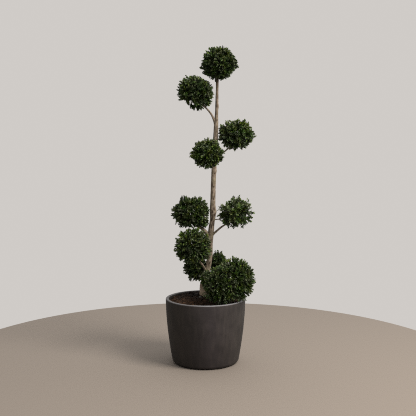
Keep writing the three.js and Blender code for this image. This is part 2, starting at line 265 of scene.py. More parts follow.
fibre_clay, tree, shader, place = new_material("fibre_clay_cast_charcoal")
cloud = add_node(tree, "ShaderNodeTexNoise",
                 {"Scale": 1 / (CLAY_CLOUD_MM * MM), "Detail": 6.0, "Roughness": 0.6}, {"Vector": place})
grain = add_node(tree, "ShaderNodeTexNoise", {"Scale": 1 / (CLAY_GRAIN_MM * MM), "Detail": 3.0},
                 {"Vector": place})
cloudy = add_node(tree, "ShaderNodeValToRGB", {"stops": [(0.36, "#272425"), (0.64, "#3b3738")]},
                  {"Fac": cloud})
grainy = add_node(tree, "ShaderNodeValToRGB", {"stops": [(0.35, "#221f1f"), (0.7, "#4a4545")]},
                  {"Fac": grain})
colour = add_node(tree, "ShaderNodeMix", {"data_type": "RGBA", "Factor": GRAIN_SHARE},
                  {"A": cloudy, "B": grainy})
bump = add_node(tree, "ShaderNodeBump", {"Strength": 0.25, "Distance": 0.0012}, {"Height": grain})
set_node(tree, shader, {"Roughness": 0.7, "IOR": 1.5}, {"Normal": bump})
print("fibre clay cast")

# %% [markdown]
# A pot that stands outdoors doesn't stay plain. Rain leaves faint paler runs down the side, and a thin film
# of algae tints the left side olive. Painted shade darkens the left side, the far right and the foot, and a
# painted purplish sheen lies across the middle. A painted highlight makes the lip pale where it catches light
# from above, less at the back and on the left. Each is one layer over the cast colour, which keeps them apart
# and easy to change.

# %% Weather on the fibre clay, with painted shade, sheen and highlight
RUN_MM = 22
RUN_STRETCH = 0.12
FILM_SHADE_AND_SHEEN_TINTS = [(0, "#c9c6b4"), (0.5, "#f6eff4"), (0.84, "#fffcf2"), (1, "#cbc8bf")]
FOOT_SHADE_TINTS = [(0, "#d4d0d0"), (1, "#ffffff")]

drawn_out = add_node(tree, "ShaderNodeMapping", {"Scale": (1, 1, RUN_STRETCH)}, {"Vector": place})
runs = add_node(tree, "ShaderNodeTexNoise", {"Scale": 1 / (RUN_MM * MM), "Detail": 4.0},
                {"Vector": drawn_out})
colour = covered(tree, colour, runs, start=0.46, end=0.76, most=0.36, cover="#534e4a")
x, y, z = add_node(tree, "ShaderNodeSeparateXYZ", links={"Vector": place}).outputs
# painted shade on the left side and the far right, a painted purplish sheen across the middle, and the olive
# film on the left
colour = tinted(tree, colour, x, start=-0.17, end=0.23, stops=FILM_SHADE_AND_SHEEN_TINTS)
# painted shade, darker towards the foot
colour = tinted(tree, colour, z, start=0, end=0.24, stops=FOOT_SHADE_TINTS)

# the lip's painted highlight is a product of four shares: a measure (z, y and x in metres, or the clouds'
# noise), its start and end, and the share at either
LIP_HIGHLIGHT = [
    (z, 0.367, 0.3708, 0, 1),
    (cloud, 0.3, 0.6, 0.55, 1),
    (y, 0.1, 0.19, 1, 0.12),
    (x, -0.09, 0.01, 0.5, 1),
]
highlight = [add_node(tree, "ShaderNodeMapRange",
                 {"From Min": start, "From Max": end, "To Min": at_start, "To Max": at_end},
                 {"Value": measure}) for measure, start, end, at_start, at_end in LIP_HIGHLIGHT]
while len(highlight) > 1:
    highlight[:2] = [add_node(tree, "ShaderNodeMath", {"operation": "MULTIPLY"}, {0: highlight[0], 1: highlight[1]})]
# the pale cover is the painted highlight on the lip
colour = covered(tree, colour, highlight[0], start=0, end=1, most=1, cover="#85868a")
set_node(tree, shader, links={"Base Color": colour})
print("fibre clay weathered, shares of the lip's wear:", len(LIP_HIGHLIGHT))

# %% [markdown]
# ### Moist compost
# Potting compost is peat and fine bark. Wet, it is almost black with red-brown crumbs, and has hardly any
# shine. Round the trunk's foot it carries a painted shade of the plant, which fades out towards the rim. The
# bed, the loose crumbs and a small grey stone differ only in the size and colours of one noise, so one
# function makes all three, and the bed and the crumbs get the painted shade. The crumbs' own tint is drawn
# coarser than a crumb, so that it shows.

# %% Compost, crumb and stone materials
# where the painted shade of the plant is deepest, in metres, and the distances from there between which it
# fades
SHADED_AT = (-0.03, 0.12, 0.36)
SHADE_FROM, SHADE_TO = 0.06, 0.2
SHADE_TINTS = [(0, "#6e6a68"), (1, "#ffffff")]


def ground_material(name, speck_mm, detail, unevenness, roughness, stops, shaded=True):
    """Noise of a speck's size, detail and unevenness through the stops, times the painted shade's tint if
    shaded.
    """
    material, tree, shader, place = new_material(name)
    specks = add_node(tree, "ShaderNodeTexNoise",
                      {"Scale": 1 / (speck_mm * MM), "Detail": detail, "Roughness": unevenness},
                      {"Vector": place})
    colour = add_node(tree, "ShaderNodeValToRGB", {"stops": stops}, {"Fac": specks})
    if shaded:
        # painted shade: darker near where the plant's shade falls on the compost
        away = add_node(tree, "ShaderNodeVectorMath", {"operation": "DISTANCE", 1: SHADED_AT}, {0: place})
        colour = tinted(tree, colour, away, SHADE_FROM, SHADE_TO, SHADE_TINTS)
        set_node(tree, shader, {"Specular IOR Level": 0.2})
    set_node(tree, shader, {"Roughness": roughness}, {"Base Color": colour})
    return material, tree, shader, specks


compost, tree, shader, specks = ground_material(
    "moist_bark_compost", speck_mm=24, detail=8.0, unevenness=0.7, roughness=0.9,
    stops=[(0.36, "#140c07"), (0.52, "#332317"), (0.68, "#5b4431")])
bump = add_node(tree, "ShaderNodeBump", {"Strength": 0.8, "Distance": 0.003}, {"Height": specks})
set_node(tree, shader, links={"Normal": bump})
bark_chips, *_ = ground_material(
    "bark_chips_in_compost", speck_mm=22, detail=2.0, unevenness=0.5, roughness=0.85,
    stops=[(0.35, "#1c130c"), (0.52, "#3a291b"), (0.66, "#5c4532")])
stone, *_ = ground_material(
    "stone_grey_rounded", speck_mm=5, detail=4.0, unevenness=0.5, roughness=0.7,
    stops=[(0.35, "#41423d"), (0.65, "#6d6e67")], shaded=False)
print("ground materials:", compost.name, bark_chips.name, stone.name)

# %% [markdown]
# ### Bark
# The trunk's bark is grey-brown, dry and fibrous, split into thin upright strips. So the pattern is noise
# that is stretched along the trunk, darker in the splits and paler on the ridges. Over it come mottled
# patches, a grey-green film of algae, a painted shade near the top, where the trunk runs in among the upper
# balls, and the dark scars of old cuts. The scars sit at chosen places, so each point of the mesh carries its
# own share.

# %% Bark materials
BARK_STRIP_MM = 5
BARK_PATCH_MM = 20
BARK_FILM_MM = 34
BARK_STRETCH = 0.12
PATCH_SHARE = 0.42
TOP_SHADE_TINTS = [(0, "#ffffff"), (1, "#dcd6d2")]


def bark_material(name, dark, middle, pale):
    """Bark of three tones, in strips along Z mixed with patches, then film, painted shade near the top and
    scars over it.
    """
    material, tree, shader, place = new_material(name)
    along = add_node(tree, "ShaderNodeMapping", {"Scale": (1, 1, BARK_STRETCH)}, {"Vector": place})
    strips = add_node(tree, "ShaderNodeTexNoise",
                      {"Scale": 1 / (BARK_STRIP_MM * MM), "Detail": 5.0, "Roughness": 0.65},
                      {"Vector": along})
    patches, film = (
        add_node(tree, "ShaderNodeTexNoise", {"Scale": 1 / (size * MM), "Detail": detail}, {"Vector": place})
        for size, detail in ((BARK_PATCH_MM, 4.0), (BARK_FILM_MM, 3.0)))
    striped = add_node(tree, "ShaderNodeValToRGB", {"stops": [(0.34, dark), (0.52, middle), (0.68, pale)]},
                       {"Fac": strips})
    patched = add_node(tree, "ShaderNodeValToRGB", {"stops": [(0.36, dark), (0.5, middle), (0.62, pale)]},
                       {"Fac": patches})
    colour = add_node(tree, "ShaderNodeMix", {"data_type": "RGBA", "Factor": PATCH_SHARE},
                      {"A": striped, "B": patched})
    colour = covered(tree, colour, film, start=0.45, end=0.7, most=0.5, cover="#8b8467")
    height = add_node(tree, "ShaderNodeSeparateXYZ", links={"Vector": place}).outputs["Z"]
    # painted shade near the top, where the trunk runs in among the upper balls
    colour = tinted(tree, colour, height, start=1.3, end=1.52, stops=TOP_SHADE_TINTS)
    scars = add_node(tree, "ShaderNodeAttribute", {"attribute_name": "scar"}).outputs["Fac"]
    colour = covered(tree, colour, scars, start=0, end=1, most=1, cover="#3e2f22")
    bump = add_node(tree, "ShaderNodeBump", {"Strength": 0.6, "Distance": 0.0015}, {"Height": strips})
    set_node(tree, shader, {"Roughness": 0.85}, {"Base Color": colour, "Normal": bump})
    return material


old_bark = bark_material("fibrous_bark_grey_brown", "#4a3f33", "#857767", "#b0a393")
young_bark = bark_material("young_bark_grey", "#4a4036", "#857869", "#a89a89")
twig_bark = bark_material("twig_bark_brown_green", "#2a2416", "#4a3c28", "#5d5436")
print("barks:", old_bark.name, young_bark.name, twig_bark.name)

# %% [markdown]
# ### Leaves
# The leaves are small, leathery and waxy: very dark green, with a grey gloss where they catch the sky, and
# a little yellower on this year's shoots. So there are three plain greens, for old, grown and young leaves.
# Fine noise varies each within the leaf, and noise the size of a spray makes whole sprays fresher or
# duller, and yellower or bluer, which keeps a ball from looking like one colour.

# %% Leaf materials
LEAF_TINT_MM = 9
SPRAY_MM = 30
# the part of the noise's range that counts, and what its two ends do to saturation and to hue
SPRAY_RANGE = (0.38, 0.62)
SPRAY_SHIFTS = [("Saturation", "Red", 0.68, 1.24), ("Hue", "Green", 0.481, 0.529)]


def leaf_material(name, colour, paler, roughness):
    """Waxy leaf: two close greens mixed by noise the size of a leaf, shifted from spray to spray."""
    material, tree, shader, place = new_material(name)
    tint, sprays = (
        add_node(tree, "ShaderNodeTexNoise", {"Scale": 1 / (size * MM), "Detail": detail}, {"Vector": place})
        for size, detail in ((LEAF_TINT_MM, 2.0), (SPRAY_MM, 1.0)))
    green = add_node(tree, "ShaderNodeValToRGB", {"stops": [(0.35, colour), (0.65, paler)]}, {"Fac": tint})
    drawn = add_node(tree, "ShaderNodeSeparateColor", links={"Color": sprays.outputs["Color"]})
    shifts = {socket: add_node(tree, "ShaderNodeMapRange",
                               {"From Min": SPRAY_RANGE[0], "From Max": SPRAY_RANGE[1],
                                "To Min": least, "To Max": most}, {"Value": drawn.outputs[channel]})
              for socket, channel, least, most in SPRAY_SHIFTS}
    varied = add_node(tree, "ShaderNodeHueSaturation", links={"Color": green, **shifts})
    set_node(tree, shader, {"Roughness": roughness, "IOR": 1.45}, {"Base Color": varied})
    return material


LEAF_SHADES = {
    "old": leaf_material("leathery_leaf_old_dark", "#394720", "#435429", roughness=0.54),
    "grown": leaf_material("leathery_leaf_grown", "#44532d", "#506037", roughness=0.52),
    "young": leaf_material("leathery_leaf_young", "#596936", "#6a7a42", roughness=0.5),
}
print("leaf shades:", list(LEAF_SHADES))

# %% [markdown]
# ## The pot
# A cast pot is a turned shape. Its side is a curve that swells towards the rim, with a rounded heel below
# and a soft rounded lip above. It could be spun with a modifier, but a formula says plainly what the side
# does: the radius falls with a power of the distance below the rim. The heel and the lip are arcs.

# %% Pot profile
POT_HEIGHT = 372
RIM_RADIUS = 230
BASE_RADIUS = 160
HEEL_RADIUS = 194
HEEL_HEIGHT = 22
SIDE_SWELL = 1.8
POT_WALL = 18
LIP_ROUND = 6
# the profile starts and ends this far from the axis, and the caps close it
AXIS_GAP = 2
# heights that one straight step spans: above the heel, below the lip outside and inside, above the floor
HEEL_STEP, LIP_STEP_OUT, LIP_STEP_IN, FLOOR_STEP = 8, 3, 4, 30
FLOOR_CORNER = 6
HEEL_POINTS, OUTER_POINTS, LIP_POINTS, INNER_POINTS = 9, 46, 6, 20


def side_radius(z):
    """Outer radius at a height: the rim's, less a power of the distance below the rim."""
    share = np.clip((POT_HEIGHT - z) / (POT_HEIGHT - HEEL_HEIGHT), 0, 1)
    return RIM_RADIUS - (RIM_RADIUS - HEEL_RADIUS) * share ** SIDE_SWELL


def arc(centre, radii, start, end, count):
    """Points (radius, height) on a quarter ellipse, with its centre, two radii and angles in degrees."""
    turn = np.radians(np.linspace(start, end, count))
    return np.stack([centre[0] + radii[0] * np.cos(turn), centre[1] + radii[1] * np.sin(turn)], -1)


lip_level = POT_HEIGHT - LIP_ROUND
heel = arc((BASE_RADIUS, HEEL_HEIGHT), (HEEL_RADIUS - BASE_RADIUS, HEEL_HEIGHT), -90, 0, HEEL_POINTS)
outer_heights = np.linspace(HEEL_HEIGHT + HEEL_STEP, lip_level - LIP_STEP_OUT, OUTER_POINTS)
outer = np.stack([side_radius(outer_heights), outer_heights], -1)
lip_out = arc((RIM_RADIUS - LIP_ROUND, lip_level), (LIP_ROUND, LIP_ROUND), 0, 90, LIP_POINTS)
lip_in = arc((RIM_RADIUS - POT_WALL + LIP_ROUND, lip_level), (LIP_ROUND, LIP_ROUND), 90, 180, LIP_POINTS)
inner_heights = np.linspace(lip_level - LIP_STEP_IN, POT_WALL + FLOOR_STEP, INNER_POINTS)
inner = np.stack([side_radius(inner_heights) - POT_WALL, inner_heights], -1)
floor_points = [[BASE_RADIUS - FLOOR_CORNER, POT_WALL], [AXIS_GAP, POT_WALL]]
profile = np.concatenate([[[AXIS_GAP, 0]], heel, outer, lip_out, lip_in, inner, floor_points])
print("pot profile:", len(profile), "points")

# %% [markdown]
# The profile is carried round the axis as a grid. A fraction of a millimetre of soft relief keeps it from
# looking machined. It only ever goes inwards, so the pot stays inside its solid, and it fades out under
# the heel, so the pot stands flat.

# %% Pot piece
POT_AROUND = 192
POT_RELIEF = 0.35
POT_RELIEF_SIZE = 60

rings, unit = turned_rings(profile[:, 0], profile[:, 1], POT_AROUND)
relief = POT_RELIEF * fractal(rings, POT_RELIEF_SIZE, octaves=3, seed=5)
relief = relief * np.clip(rings[..., 2] / HEEL_HEIGHT, 0, 1)
rings = rings + unit * np.minimum(relief, 0)[..., None]
add_piece("pot_fibre_clay", *closed_tube(rings), fibre_clay, "pot", ["pot"])

# %% [markdown]
# ## The compost
# The compost is a bed that fills the pot and rises in a low mound round the trunk's foot. It could be a
# sculpted plane. A polar grid fits the round pot instead, and its height is a sum of three parts: the level
# at the wall, a cosine mound, and noise for the clods.

# %% Compost bed
SOIL_AT_WALL = 355
SOIL_AT_TRUNK = 374
MOUND_TOP_RADIUS = 42
MOUND_REACH = 175
TRUNK_FOOT_XY = (-9, 70)
CLOD_HEIGHT = 3.2
CLOD_SIZE = 26
CLOD_SINK = 2
SOIL_RADIUS = 210
SOIL_AROUND = 180
SOIL_ROWS = 70
# the innermost ring's share of the radius
SOIL_HUB = 0.01
# the hidden side: its gaps to the pot's wall and floor, and how far its top ring is below the surface
WALL_SLIT, FLOOR_SLIT, SIDE_DROP = 1, 2, 12
SIDE_HEIGHTS = np.array([POT_WALL + FLOOR_SLIT, 120, 240, SOIL_AT_WALL - SIDE_DROP])
UNDERSIDE_INSET = 10


def soil_height(x, y):
    """Level at the wall, plus a cosine mound round the trunk's foot, plus clods that are sunk a little."""
    away = np.hypot(x - TRUNK_FOOT_XY[0], y - TRUNK_FOOT_XY[1]) - MOUND_TOP_RADIUS
    mound = 0.5 + 0.5 * np.cos(np.pi * np.clip(away / MOUND_REACH, 0, 1))
    flat = np.stack([x, y, np.zeros_like(x)], -1)
    clods = CLOD_HEIGHT * fractal(flat, CLOD_SIZE, octaves=4, seed=40)
    return SOIL_AT_WALL + (SOIL_AT_TRUNK - SOIL_AT_WALL) * mound + clods - CLOD_SINK


top_radii = SOIL_RADIUS * np.linspace(1, SOIL_HUB, SOIL_ROWS)
top, _ = turned_rings(top_radii, np.zeros(SOIL_ROWS), SOIL_AROUND)
top[..., 2] = soil_height(top[..., 0], top[..., 1])
side_radii = side_radius(SIDE_HEIGHTS) - POT_WALL - WALL_SLIT
side_radii[0] = BASE_RADIUS - UNDERSIDE_INSET
side, _ = turned_rings(side_radii, SIDE_HEIGHTS, SOIL_AROUND)
add_piece("compost_bed", *closed_tube(np.concatenate([side, top])), compost, "soil", ["soil"])

# %% [markdown]
# Loose crumbs of bark lie on the bed, and here and there a larger chip. There are thousands, so the shape
# is only an eight-sided lump. Copies of it are placed by seeded random numbers, each with its own size and
# turn. A random direction in four dimensions is a quaternion, and gives an even choice of turns.

# %% Bark crumbs on the bed
CRUMB = np.array([[1, 0, 0], [-1, 0, 0], [0, 1, 0], [0, -1, 0], [0, 0, 1], [0, 0, -1]], float)
CRUMB_FACES = np.array([[0, 2, 4], [2, 1, 4], [1, 3, 4], [3, 0, 4],
                        [2, 0, 5], [1, 2, 5], [3, 1, 5], [0, 3, 5]])
CRUMB_COUNT = 2600
# half sizes, and what each axis of a crumb is multiplied by at least and at most
CRUMB_SIZES = (1.2, 4.2)
CRUMB_PROPORTIONS = ([1, 0.5, 0.3], [1.6, 1, 0.6])
# crumbs lie within this share of the bed, and rise from it by this share of their least half size
CRUMB_REACH = 0.985
CRUMB_RISE = 0.6
# every so many crumbs is a chip, so many times larger
CHIP_EVERY = 14
CHIP_TIMES = 2.1


def turned_copies(shape, places, sizes, rng):
    """Copies of a small shape (n points), each scaled along its three axes, turned at random and placed."""
    quaternion = rng.normal(size=(len(places), 4))
    quaternion /= np.linalg.norm(quaternion, axis=1, keepdims=True)
    w, x, y, z = quaternion.T
    turn = np.stack([
        np.stack([1 - 2 * (y * y + z * z), 2 * (x * y - z * w), 2 * (x * z + y * w)], -1),
        np.stack([2 * (x * y + z * w), 1 - 2 * (x * x + z * z), 2 * (y * z - x * w)], -1),
        np.stack([2 * (x * z - y * w), 2 * (y * z + x * w), 1 - 2 * (x * x + y * y)], -1),
    ], -2)
    return places[:, None] + np.einsum("nij,nkj->nki", turn, shape[None] * sizes[:, None])


def repeated(faces, copies, points_each):
    """Faces of one shape repeated for every copy, with the corners numbered on."""
    return (faces[None] + points_each * np.arange(copies)[:, None, None]).reshape(-1, faces.shape[1])


rng = np.random.default_rng(7)
distance = SOIL_RADIUS * CRUMB_REACH * np.sqrt(rng.random(CRUMB_COUNT))
turn = rng.random(CRUMB_COUNT) * 2 * np.pi
crumb_x, crumb_y = distance * np.cos(turn), distance * np.sin(turn)
crumb_sizes = rng.uniform(*CRUMB_SIZES, (CRUMB_COUNT, 1))
crumb_sizes = crumb_sizes * rng.uniform(*CRUMB_PROPORTIONS, (CRUMB_COUNT, 3))
crumb_sizes[::CHIP_EVERY] *= CHIP_TIMES
crumb_z = soil_height(crumb_x, crumb_y) + crumb_sizes.min(axis=1) * CRUMB_RISE
copies = turned_copies(CRUMB, np.stack([crumb_x, crumb_y, crumb_z], -1), crumb_sizes, rng)
faces = repeated(CRUMB_FACES, CRUMB_COUNT, len(CRUMB))
add_piece("compost_crumbs", copies.reshape(-1, 3), [faces], bark_chips, "soil", ["soil"], smooth=False)

# %% [markdown]
# ## The trunk
# The trunk leans to the right as it rises and tapers from its flared foot to the top ball. The solid model
# gives its axis and radius at a few heights, and a smooth curve joins them here. The bark is fissured, so
# its relief is added to the radius as upright strips with sharp splits about a millimetre deep. Relief in
# the mesh shows at the trunk's edge too, which a bump in the material can't do.

# %% Trunk curve and bark relief
# X, Y and Z of the axis, and the radius
TRUNK = np.array([
    [-9, 70, 374.3, 22],
    [-12, 66, 432, 20.5],
    [8, 57, 510, 16.2],
    [24.5, 47, 610, 15.8],
    [28, 42, 680, 15],
    [33.5, 36, 765, 16.5],
    [40, 33, 817, 14.6],
    [43, 31, 866, 18.2],
    [42.5, 28, 912, 15.6],
    [44, 22, 1000, 14.2],
    [46.5, 18, 1075, 14.3],
    [59.5, 8, 1345, 12.8],
    [61.5, 6, 1395, 11.2],
    [63, 5, 1425, 9.2],
    [64.5, 3, 1480, 8.7],
    [66, 1, 1560, 7.7],
    [67, 0, 1619, 9.2],
])
TRUNK_FOOT, TRUNK_TIP = TRUNK[0, 2], TRUNK[-1, 2]
RELIEF_STRETCH = 0.16
STRIP_SIZE = 7
SPLIT_SIZE = 6
SPLIT_WIDTH = 0.16
SPLIT_DEPTH = 0.9
SPLIT_SEED = 9


def trunk_at(z):
    """Axis point and plain radius at heights z: cubic curves between the rows, sloped as both sides say."""
    z = np.asarray(z, float)
    known = TRUNK[:, 2]
    slope = np.gradient(TRUNK, known, axis=0)
    low = np.clip(np.searchsorted(known, z, side="right") - 1, 0, len(known) - 2)
    span = known[low + 1] - known[low]
    t = np.clip((z - known[low]) / span, 0, 1)[..., None]
    a, b = TRUNK[low], TRUNK[low + 1]
    da, db = slope[low] * span[..., None], slope[low + 1] * span[..., None]
    value = (2 * t ** 3 - 3 * t ** 2 + 1) * a + (t ** 3 - 2 * t ** 2 + t) * da
    value = value + (3 * t ** 2 - 2 * t ** 3) * b + (t ** 3 - t ** 2) * db
    return np.concatenate([value[..., :2], z[..., None]], -1), value[..., 3]


def bark_relief(places, seed):
    """Upright strips: noise stretched along Z, less sharp splits where another noise crosses zero."""
    stretched = places * np.array([1, 1, RELIEF_STRETCH])
    splits = np.exp(-(noise(stretched, SPLIT_SIZE, seed + SPLIT_SEED) / SPLIT_WIDTH) ** 2)
    return fractal(stretched, STRIP_SIZE, 3, seed) - SPLIT_DEPTH * splits


print("trunk radius at half height:", round(float(trunk_at(1000)[1]), 1), "mm")

# %% [markdown]
# The foot flares into root ridges, and a few knots swell where boughs were once cut. The smaller cuts have
# healed to dark scars, mostly between the two lower balls. A scar is a sunken oval with a ragged edge. Its
# share is kept on the mesh as an attribute, so that the bark material can darken it.

# %% Trunk piece
TRUNK_ROWS = 760
TRUNK_AROUND = 72
FOOT_BURIED = 6
FLARE_RADIUS = 9
FLARE_HEIGHT = 34
ROOT_RIDGES = 5
RIDGE_SHARE = 0.3
RIDGE_TURN = 0.6
BARK_DEPTH = 0.8
# the relief shrinks where the trunk is thinner than this, but not below this share
FULL_RELIEF_RADIUS = 16
LEAST_RELIEF = 0.5
SWELL_DEPTH = 0.8
SWELL_SIZE = 60
# knots: height, the direction that each faces in radians, and its swell
KNOTS = [(870, -0.6, 2.6), (1105, 0.2, 2.4), (1471, -0.4, 2.6)]
KNOT_SPAN = 11
# scars: height, the direction that each faces, half its height and half its width
SCARS = [(1012, -1.45, 5, 3), (942, -1.3, 6, 3), (884, -1.15, 10, 6), (868, -1.9, 8, 6), (838, -1.6, 17, 5),
         (806, -1.2, 14, 4.5), (783, -1.75, 12, 4), (850, -1.0, 11, 4), (822, -2.0, 10, 4),
         (795, -1.05, 9, 3.5), (598, -1.75, 7, 5), (560, -1.45, 12, 4), (1391, -1.2, 6, 3),
         (1247, -1.6, 7, 2.6), (1090, -1.1, 6, 3.4)]
SCAR_DEPTH = 0.9
# a scar is full within half of its oval and gone at this many times it, and noise frays the edge between
SCAR_EDGE = 1.5
SCAR_RAGGED = 0.35
SCAR_RAG_SIZE = 3

height = np.linspace(TRUNK_FOOT - FOOT_BURIED, TRUNK_TIP, TRUNK_ROWS)
centre, radius = trunk_at(height)
angle = even_turn(TRUNK_AROUND)
fade = np.exp(-np.maximum(height - TRUNK_FOOT, 0) / FLARE_HEIGHT)[:, None]
flare = FLARE_RADIUS * fade * (1 - RIDGE_SHARE + RIDGE_SHARE * np.cos(ROOT_RIDGES * angle + RIDGE_TURN))
knots = sum(swell * np.maximum(np.cos(angle - facing), 0) ** 2
            * np.exp(-((height - at) / KNOT_SPAN) ** 2)[:, None] for at, facing, swell in KNOTS)
_, unit = turned_rings(radius, height, TRUNK_AROUND)
rings = centre[:, None] + unit * (radius[:, None] + flare + knots)[..., None]
finer = np.clip(radius / FULL_RELIEF_RADIUS, LEAST_RELIEF, 1)[:, None]
relief = BARK_DEPTH * bark_relief(rings, seed=60) * finer
relief = relief + SWELL_DEPTH * fractal(rings, SWELL_SIZE, octaves=2, seed=80)
rings = rings + unit * relief[..., None]
scar = np.zeros(rings.shape[:2])
ragged = SCAR_RAGGED * noise(rings, SCAR_RAG_SIZE, seed=70)
for at, facing, tall, wide in SCARS:
    turned = (angle - facing + np.pi) % (2 * np.pi) - np.pi
    away = np.hypot((height[:, None] - at) / tall, turned * radius[:, None] / wide)
    scar = np.maximum(scar, np.clip(SCAR_EDGE - away + ragged, 0, 1))
rings = rings - SCAR_DEPTH * unit * scar[..., None]
trunk = add_piece("trunk_bark", *closed_tube(rings), old_bark, "bark", ["trunk"])
trunk.data.attributes.new("scar", "FLOAT", "POINT").data.foreach_set(
    "value", np.concatenate([scar.ravel(), [0, 0]]).astype(np.float32))

# %% [markdown]
# ## The boughs
# Each bough is one limb that leaves the trunk in a collar, bends once and thins out until it enters its
# ball. A curve object with a bevel could do it, but here a ring of points is carried along a path, because
# bark relief can then be added to it. A bough starts on the trunk's axis, so the joint has no gap.

# %% Bough pieces
# name: height on the trunk, bend, tip, thick and thin radius
BOUGHS = {
    "upper_left": (1332, [58, 3, 1426], [-22, -14, 1480], 7.2, 4.2),
    "upper_right": (1150, [75, 18, 1192], [138, 28, 1238], 5.4, 3.6),
    "middle": (1142, [42, 2, 1150], [33, -29, 1169], 6, 4.6),
    "lower_left": (706, [-10, 34, 782], [-60, 22, 788], 13, 6.5),
    "lower_right": (722, [72, 36, 768], [119, 32, 797], 6.5, 4.8),
    "low_left": (508, [-6, 38, 545], [-41, -14, 594], 7.4, 5),
    "back_left": (446, [-18, 84, 458], [-40, 100, 475], 6.6, 4.6),
    "back_right": (462, [36, 86, 470], [62, 116, 506], 6.2, 4.4),
    "front": (404, [22, 10, 412], [60, -48, 432], 10, 7.5),
    "lower_right_shoot": (820, [62, 33, 824], [84, 32, 827], 3.2, 2.3),
}
COLLAR_SWELL = 0.35
COLLAR_SHARE = 0.14
BOUGH_ROWS = 90
BOUGH_AROUND = 28
BOUGH_WANDER = 1.2
WANDER_SIZE = 24
WANDER_SEEDS = (3, 4, 5)
# the relief's depth is a share of the bough's thick radius
BOUGH_RELIEF = 0.07
BOUGH_RELIEF_SIZE = 5
# any direction that no bough follows, to start the square directions from
SPARE = np.array([0.31, -0.92, 0.24])


def carried_rings(path, radius, around):
    """Rings square to a path, each with its own radius: path point plus radius times cos and sin of two
    directions that are square to the path."""
    along = np.gradient(path, axis=0)
    along /= np.linalg.norm(along, axis=1, keepdims=True)
    across = np.cross(along, SPARE)
    across /= np.linalg.norm(across, axis=1, keepdims=True)
    over = np.cross(along, across)
    turn = even_turn(around)[:, None]
    unit = across[:, None] * np.cos(turn) + over[:, None] * np.sin(turn)
    return path[:, None] + unit * radius[:, None, None], unit


def bent_path(start, bend, tip, rows):
    """A curve with one bend: start, bend and tip blended by squares of t and 1 - t."""
    t = np.linspace(0, 1, rows)[:, None]
    return (1 - t) ** 2 * np.array(start) + 2 * t * (1 - t) * np.array(bend) + t ** 2 * np.array(tip)


for name, (root_height, bend, tip, thick, thin) in BOUGHS.items():
    path = bent_path(trunk_at(root_height)[0], bend, tip, BOUGH_ROWS)
    t = np.linspace(0, 1, BOUGH_ROWS)
    radius = thin + (thick - thin) * (1 - t) + COLLAR_SWELL * thick * np.exp(-t / COLLAR_SHARE)
    wander = np.stack([noise(path, WANDER_SIZE, seed) for seed in WANDER_SEEDS], -1)
    path = path + BOUGH_WANDER * np.sin(np.pi * t)[:, None] * wander
    rings, unit = carried_rings(path, radius, BOUGH_AROUND)
    relief = BOUGH_RELIEF * thick * fractal(rings, BOUGH_RELIEF_SIZE, octaves=3, seed=90)
    rings = rings + unit * relief[..., None]
    add_piece(f"bough_{name}_bark", *closed_tube(rings), young_bark, "bark", [f"bough_{name}"])

# %% [markdown]
# ### A root at the surface, and a stone
# Watering has washed one root bare where it leaves the trunk's foot at the front. It is a short bent limb
# that dips into the compost, so the boughs' helpers make it. Beside it lies a small grey stone, which is a
# ball made lumpy by noise.

# %% Root and stone pieces
ROOT_FROM, ROOT_BEND, ROOT_TO = [0, 58, 398], [-2, 32, 400], [6, 12, 362]
ROOT_ROWS = 40
ROOT_THICK, ROOT_THIN = 9, 6.5
ROOT_RELIEF = 0.6
ROOT_RELIEF_SIZE = 6
STONE_AT = np.array([-30, 18, 371])
STONE_HALF = np.array([9, 8, 6])
# lumps as shares of the stone's half sizes
STONE_LUMPS = 0.12
STONE_LUMP_SIZE = 0.9
STONE_ROWS = 16
STONE_AROUND = 32

path = bent_path(ROOT_FROM, ROOT_BEND, ROOT_TO, ROOT_ROWS)
rings, unit = carried_rings(path, np.linspace(ROOT_THICK, ROOT_THIN, ROOT_ROWS), BOUGH_AROUND)
rings = rings + unit * (ROOT_RELIEF * fractal(rings, ROOT_RELIEF_SIZE, octaves=3, seed=95))[..., None]
add_piece("surface_root_bark", *closed_tube(rings), young_bark, "bark", ["trunk"])

tilt = np.linspace(-np.pi / 2, np.pi / 2, STONE_ROWS + 2)[1:-1]
ball, _ = turned_rings(np.cos(tilt), np.sin(tilt), STONE_AROUND)
ball = ball * (1 + STONE_LUMPS * fractal(ball, STONE_LUMP_SIZE, octaves=2, seed=33))[..., None]
add_piece("stone_grey", *closed_tube(STONE_AT + STONE_HALF * ball), stone, "soil", ["soil"])

# %% [markdown]
# ## The balls and their outlines
# The foliage is clipped to ten balls. Eight are single and nearly round, one has a small lobe where it
# meets the trunk, and the large one at the front is three lobes grown into one. Their places and sizes
# are the solid model's, because the leaves have to fill the same space.

# %% Where each ball is
# centre and half sizes of each lobe, as in the solid model
BALLS = {
    "top": [([81, 0, 1712], [109, 108, 101])],
    "upper_left": [([-56, -20, 1548], [106, 104, 99])],
    "upper_right": [([176, 30, 1313], [107, 103, 90])],
    "middle": [([13, -106, 1204], [98, 98, 86])],
    "lower_left": [([-86, 20, 870], [109, 105, 92]), ([-12, 20, 808], [34, 38, 36])],
    "lower_right": [([174, 30, 867], [104, 101, 93])],
    "low_left": [([-71, -55, 682], [108, 105, 100])],
    "back_left": [([-52, 114, 527], [82, 77, 76])],
    "back_right": [([76, 142, 560], [67, 70, 72])],
    "front": [([163, -88, 498], [118, 114, 124]), ([94, -125, 471], [106, 106, 107]),
              ([10, -6, 480], [49, 46, 57])],
}


def scaled_distance(points, lobe):
    """Distance from a lobe's centre in units of its half sizes, so 1 is on the edge of its space."""
    return np.linalg.norm((points - np.array(lobe[0])) / np.array(lobe[1]), axis=-1)


print("balls:", len(BALLS), "lobes:", sum(len(lobes) for lobes in BALLS.values()))

# %% [markdown]
# Shears never cut a true sphere. The edge of each ball has flats, dips and sprays that stick out, and people
# know the plant by them. Noise gives such lumps too, but not in their own places. So a few points say how
# far the skin reaches where the edge turns. Straight steps join the points, and the change fades out
# towards the front and the back of the ball, where no edge is seen.

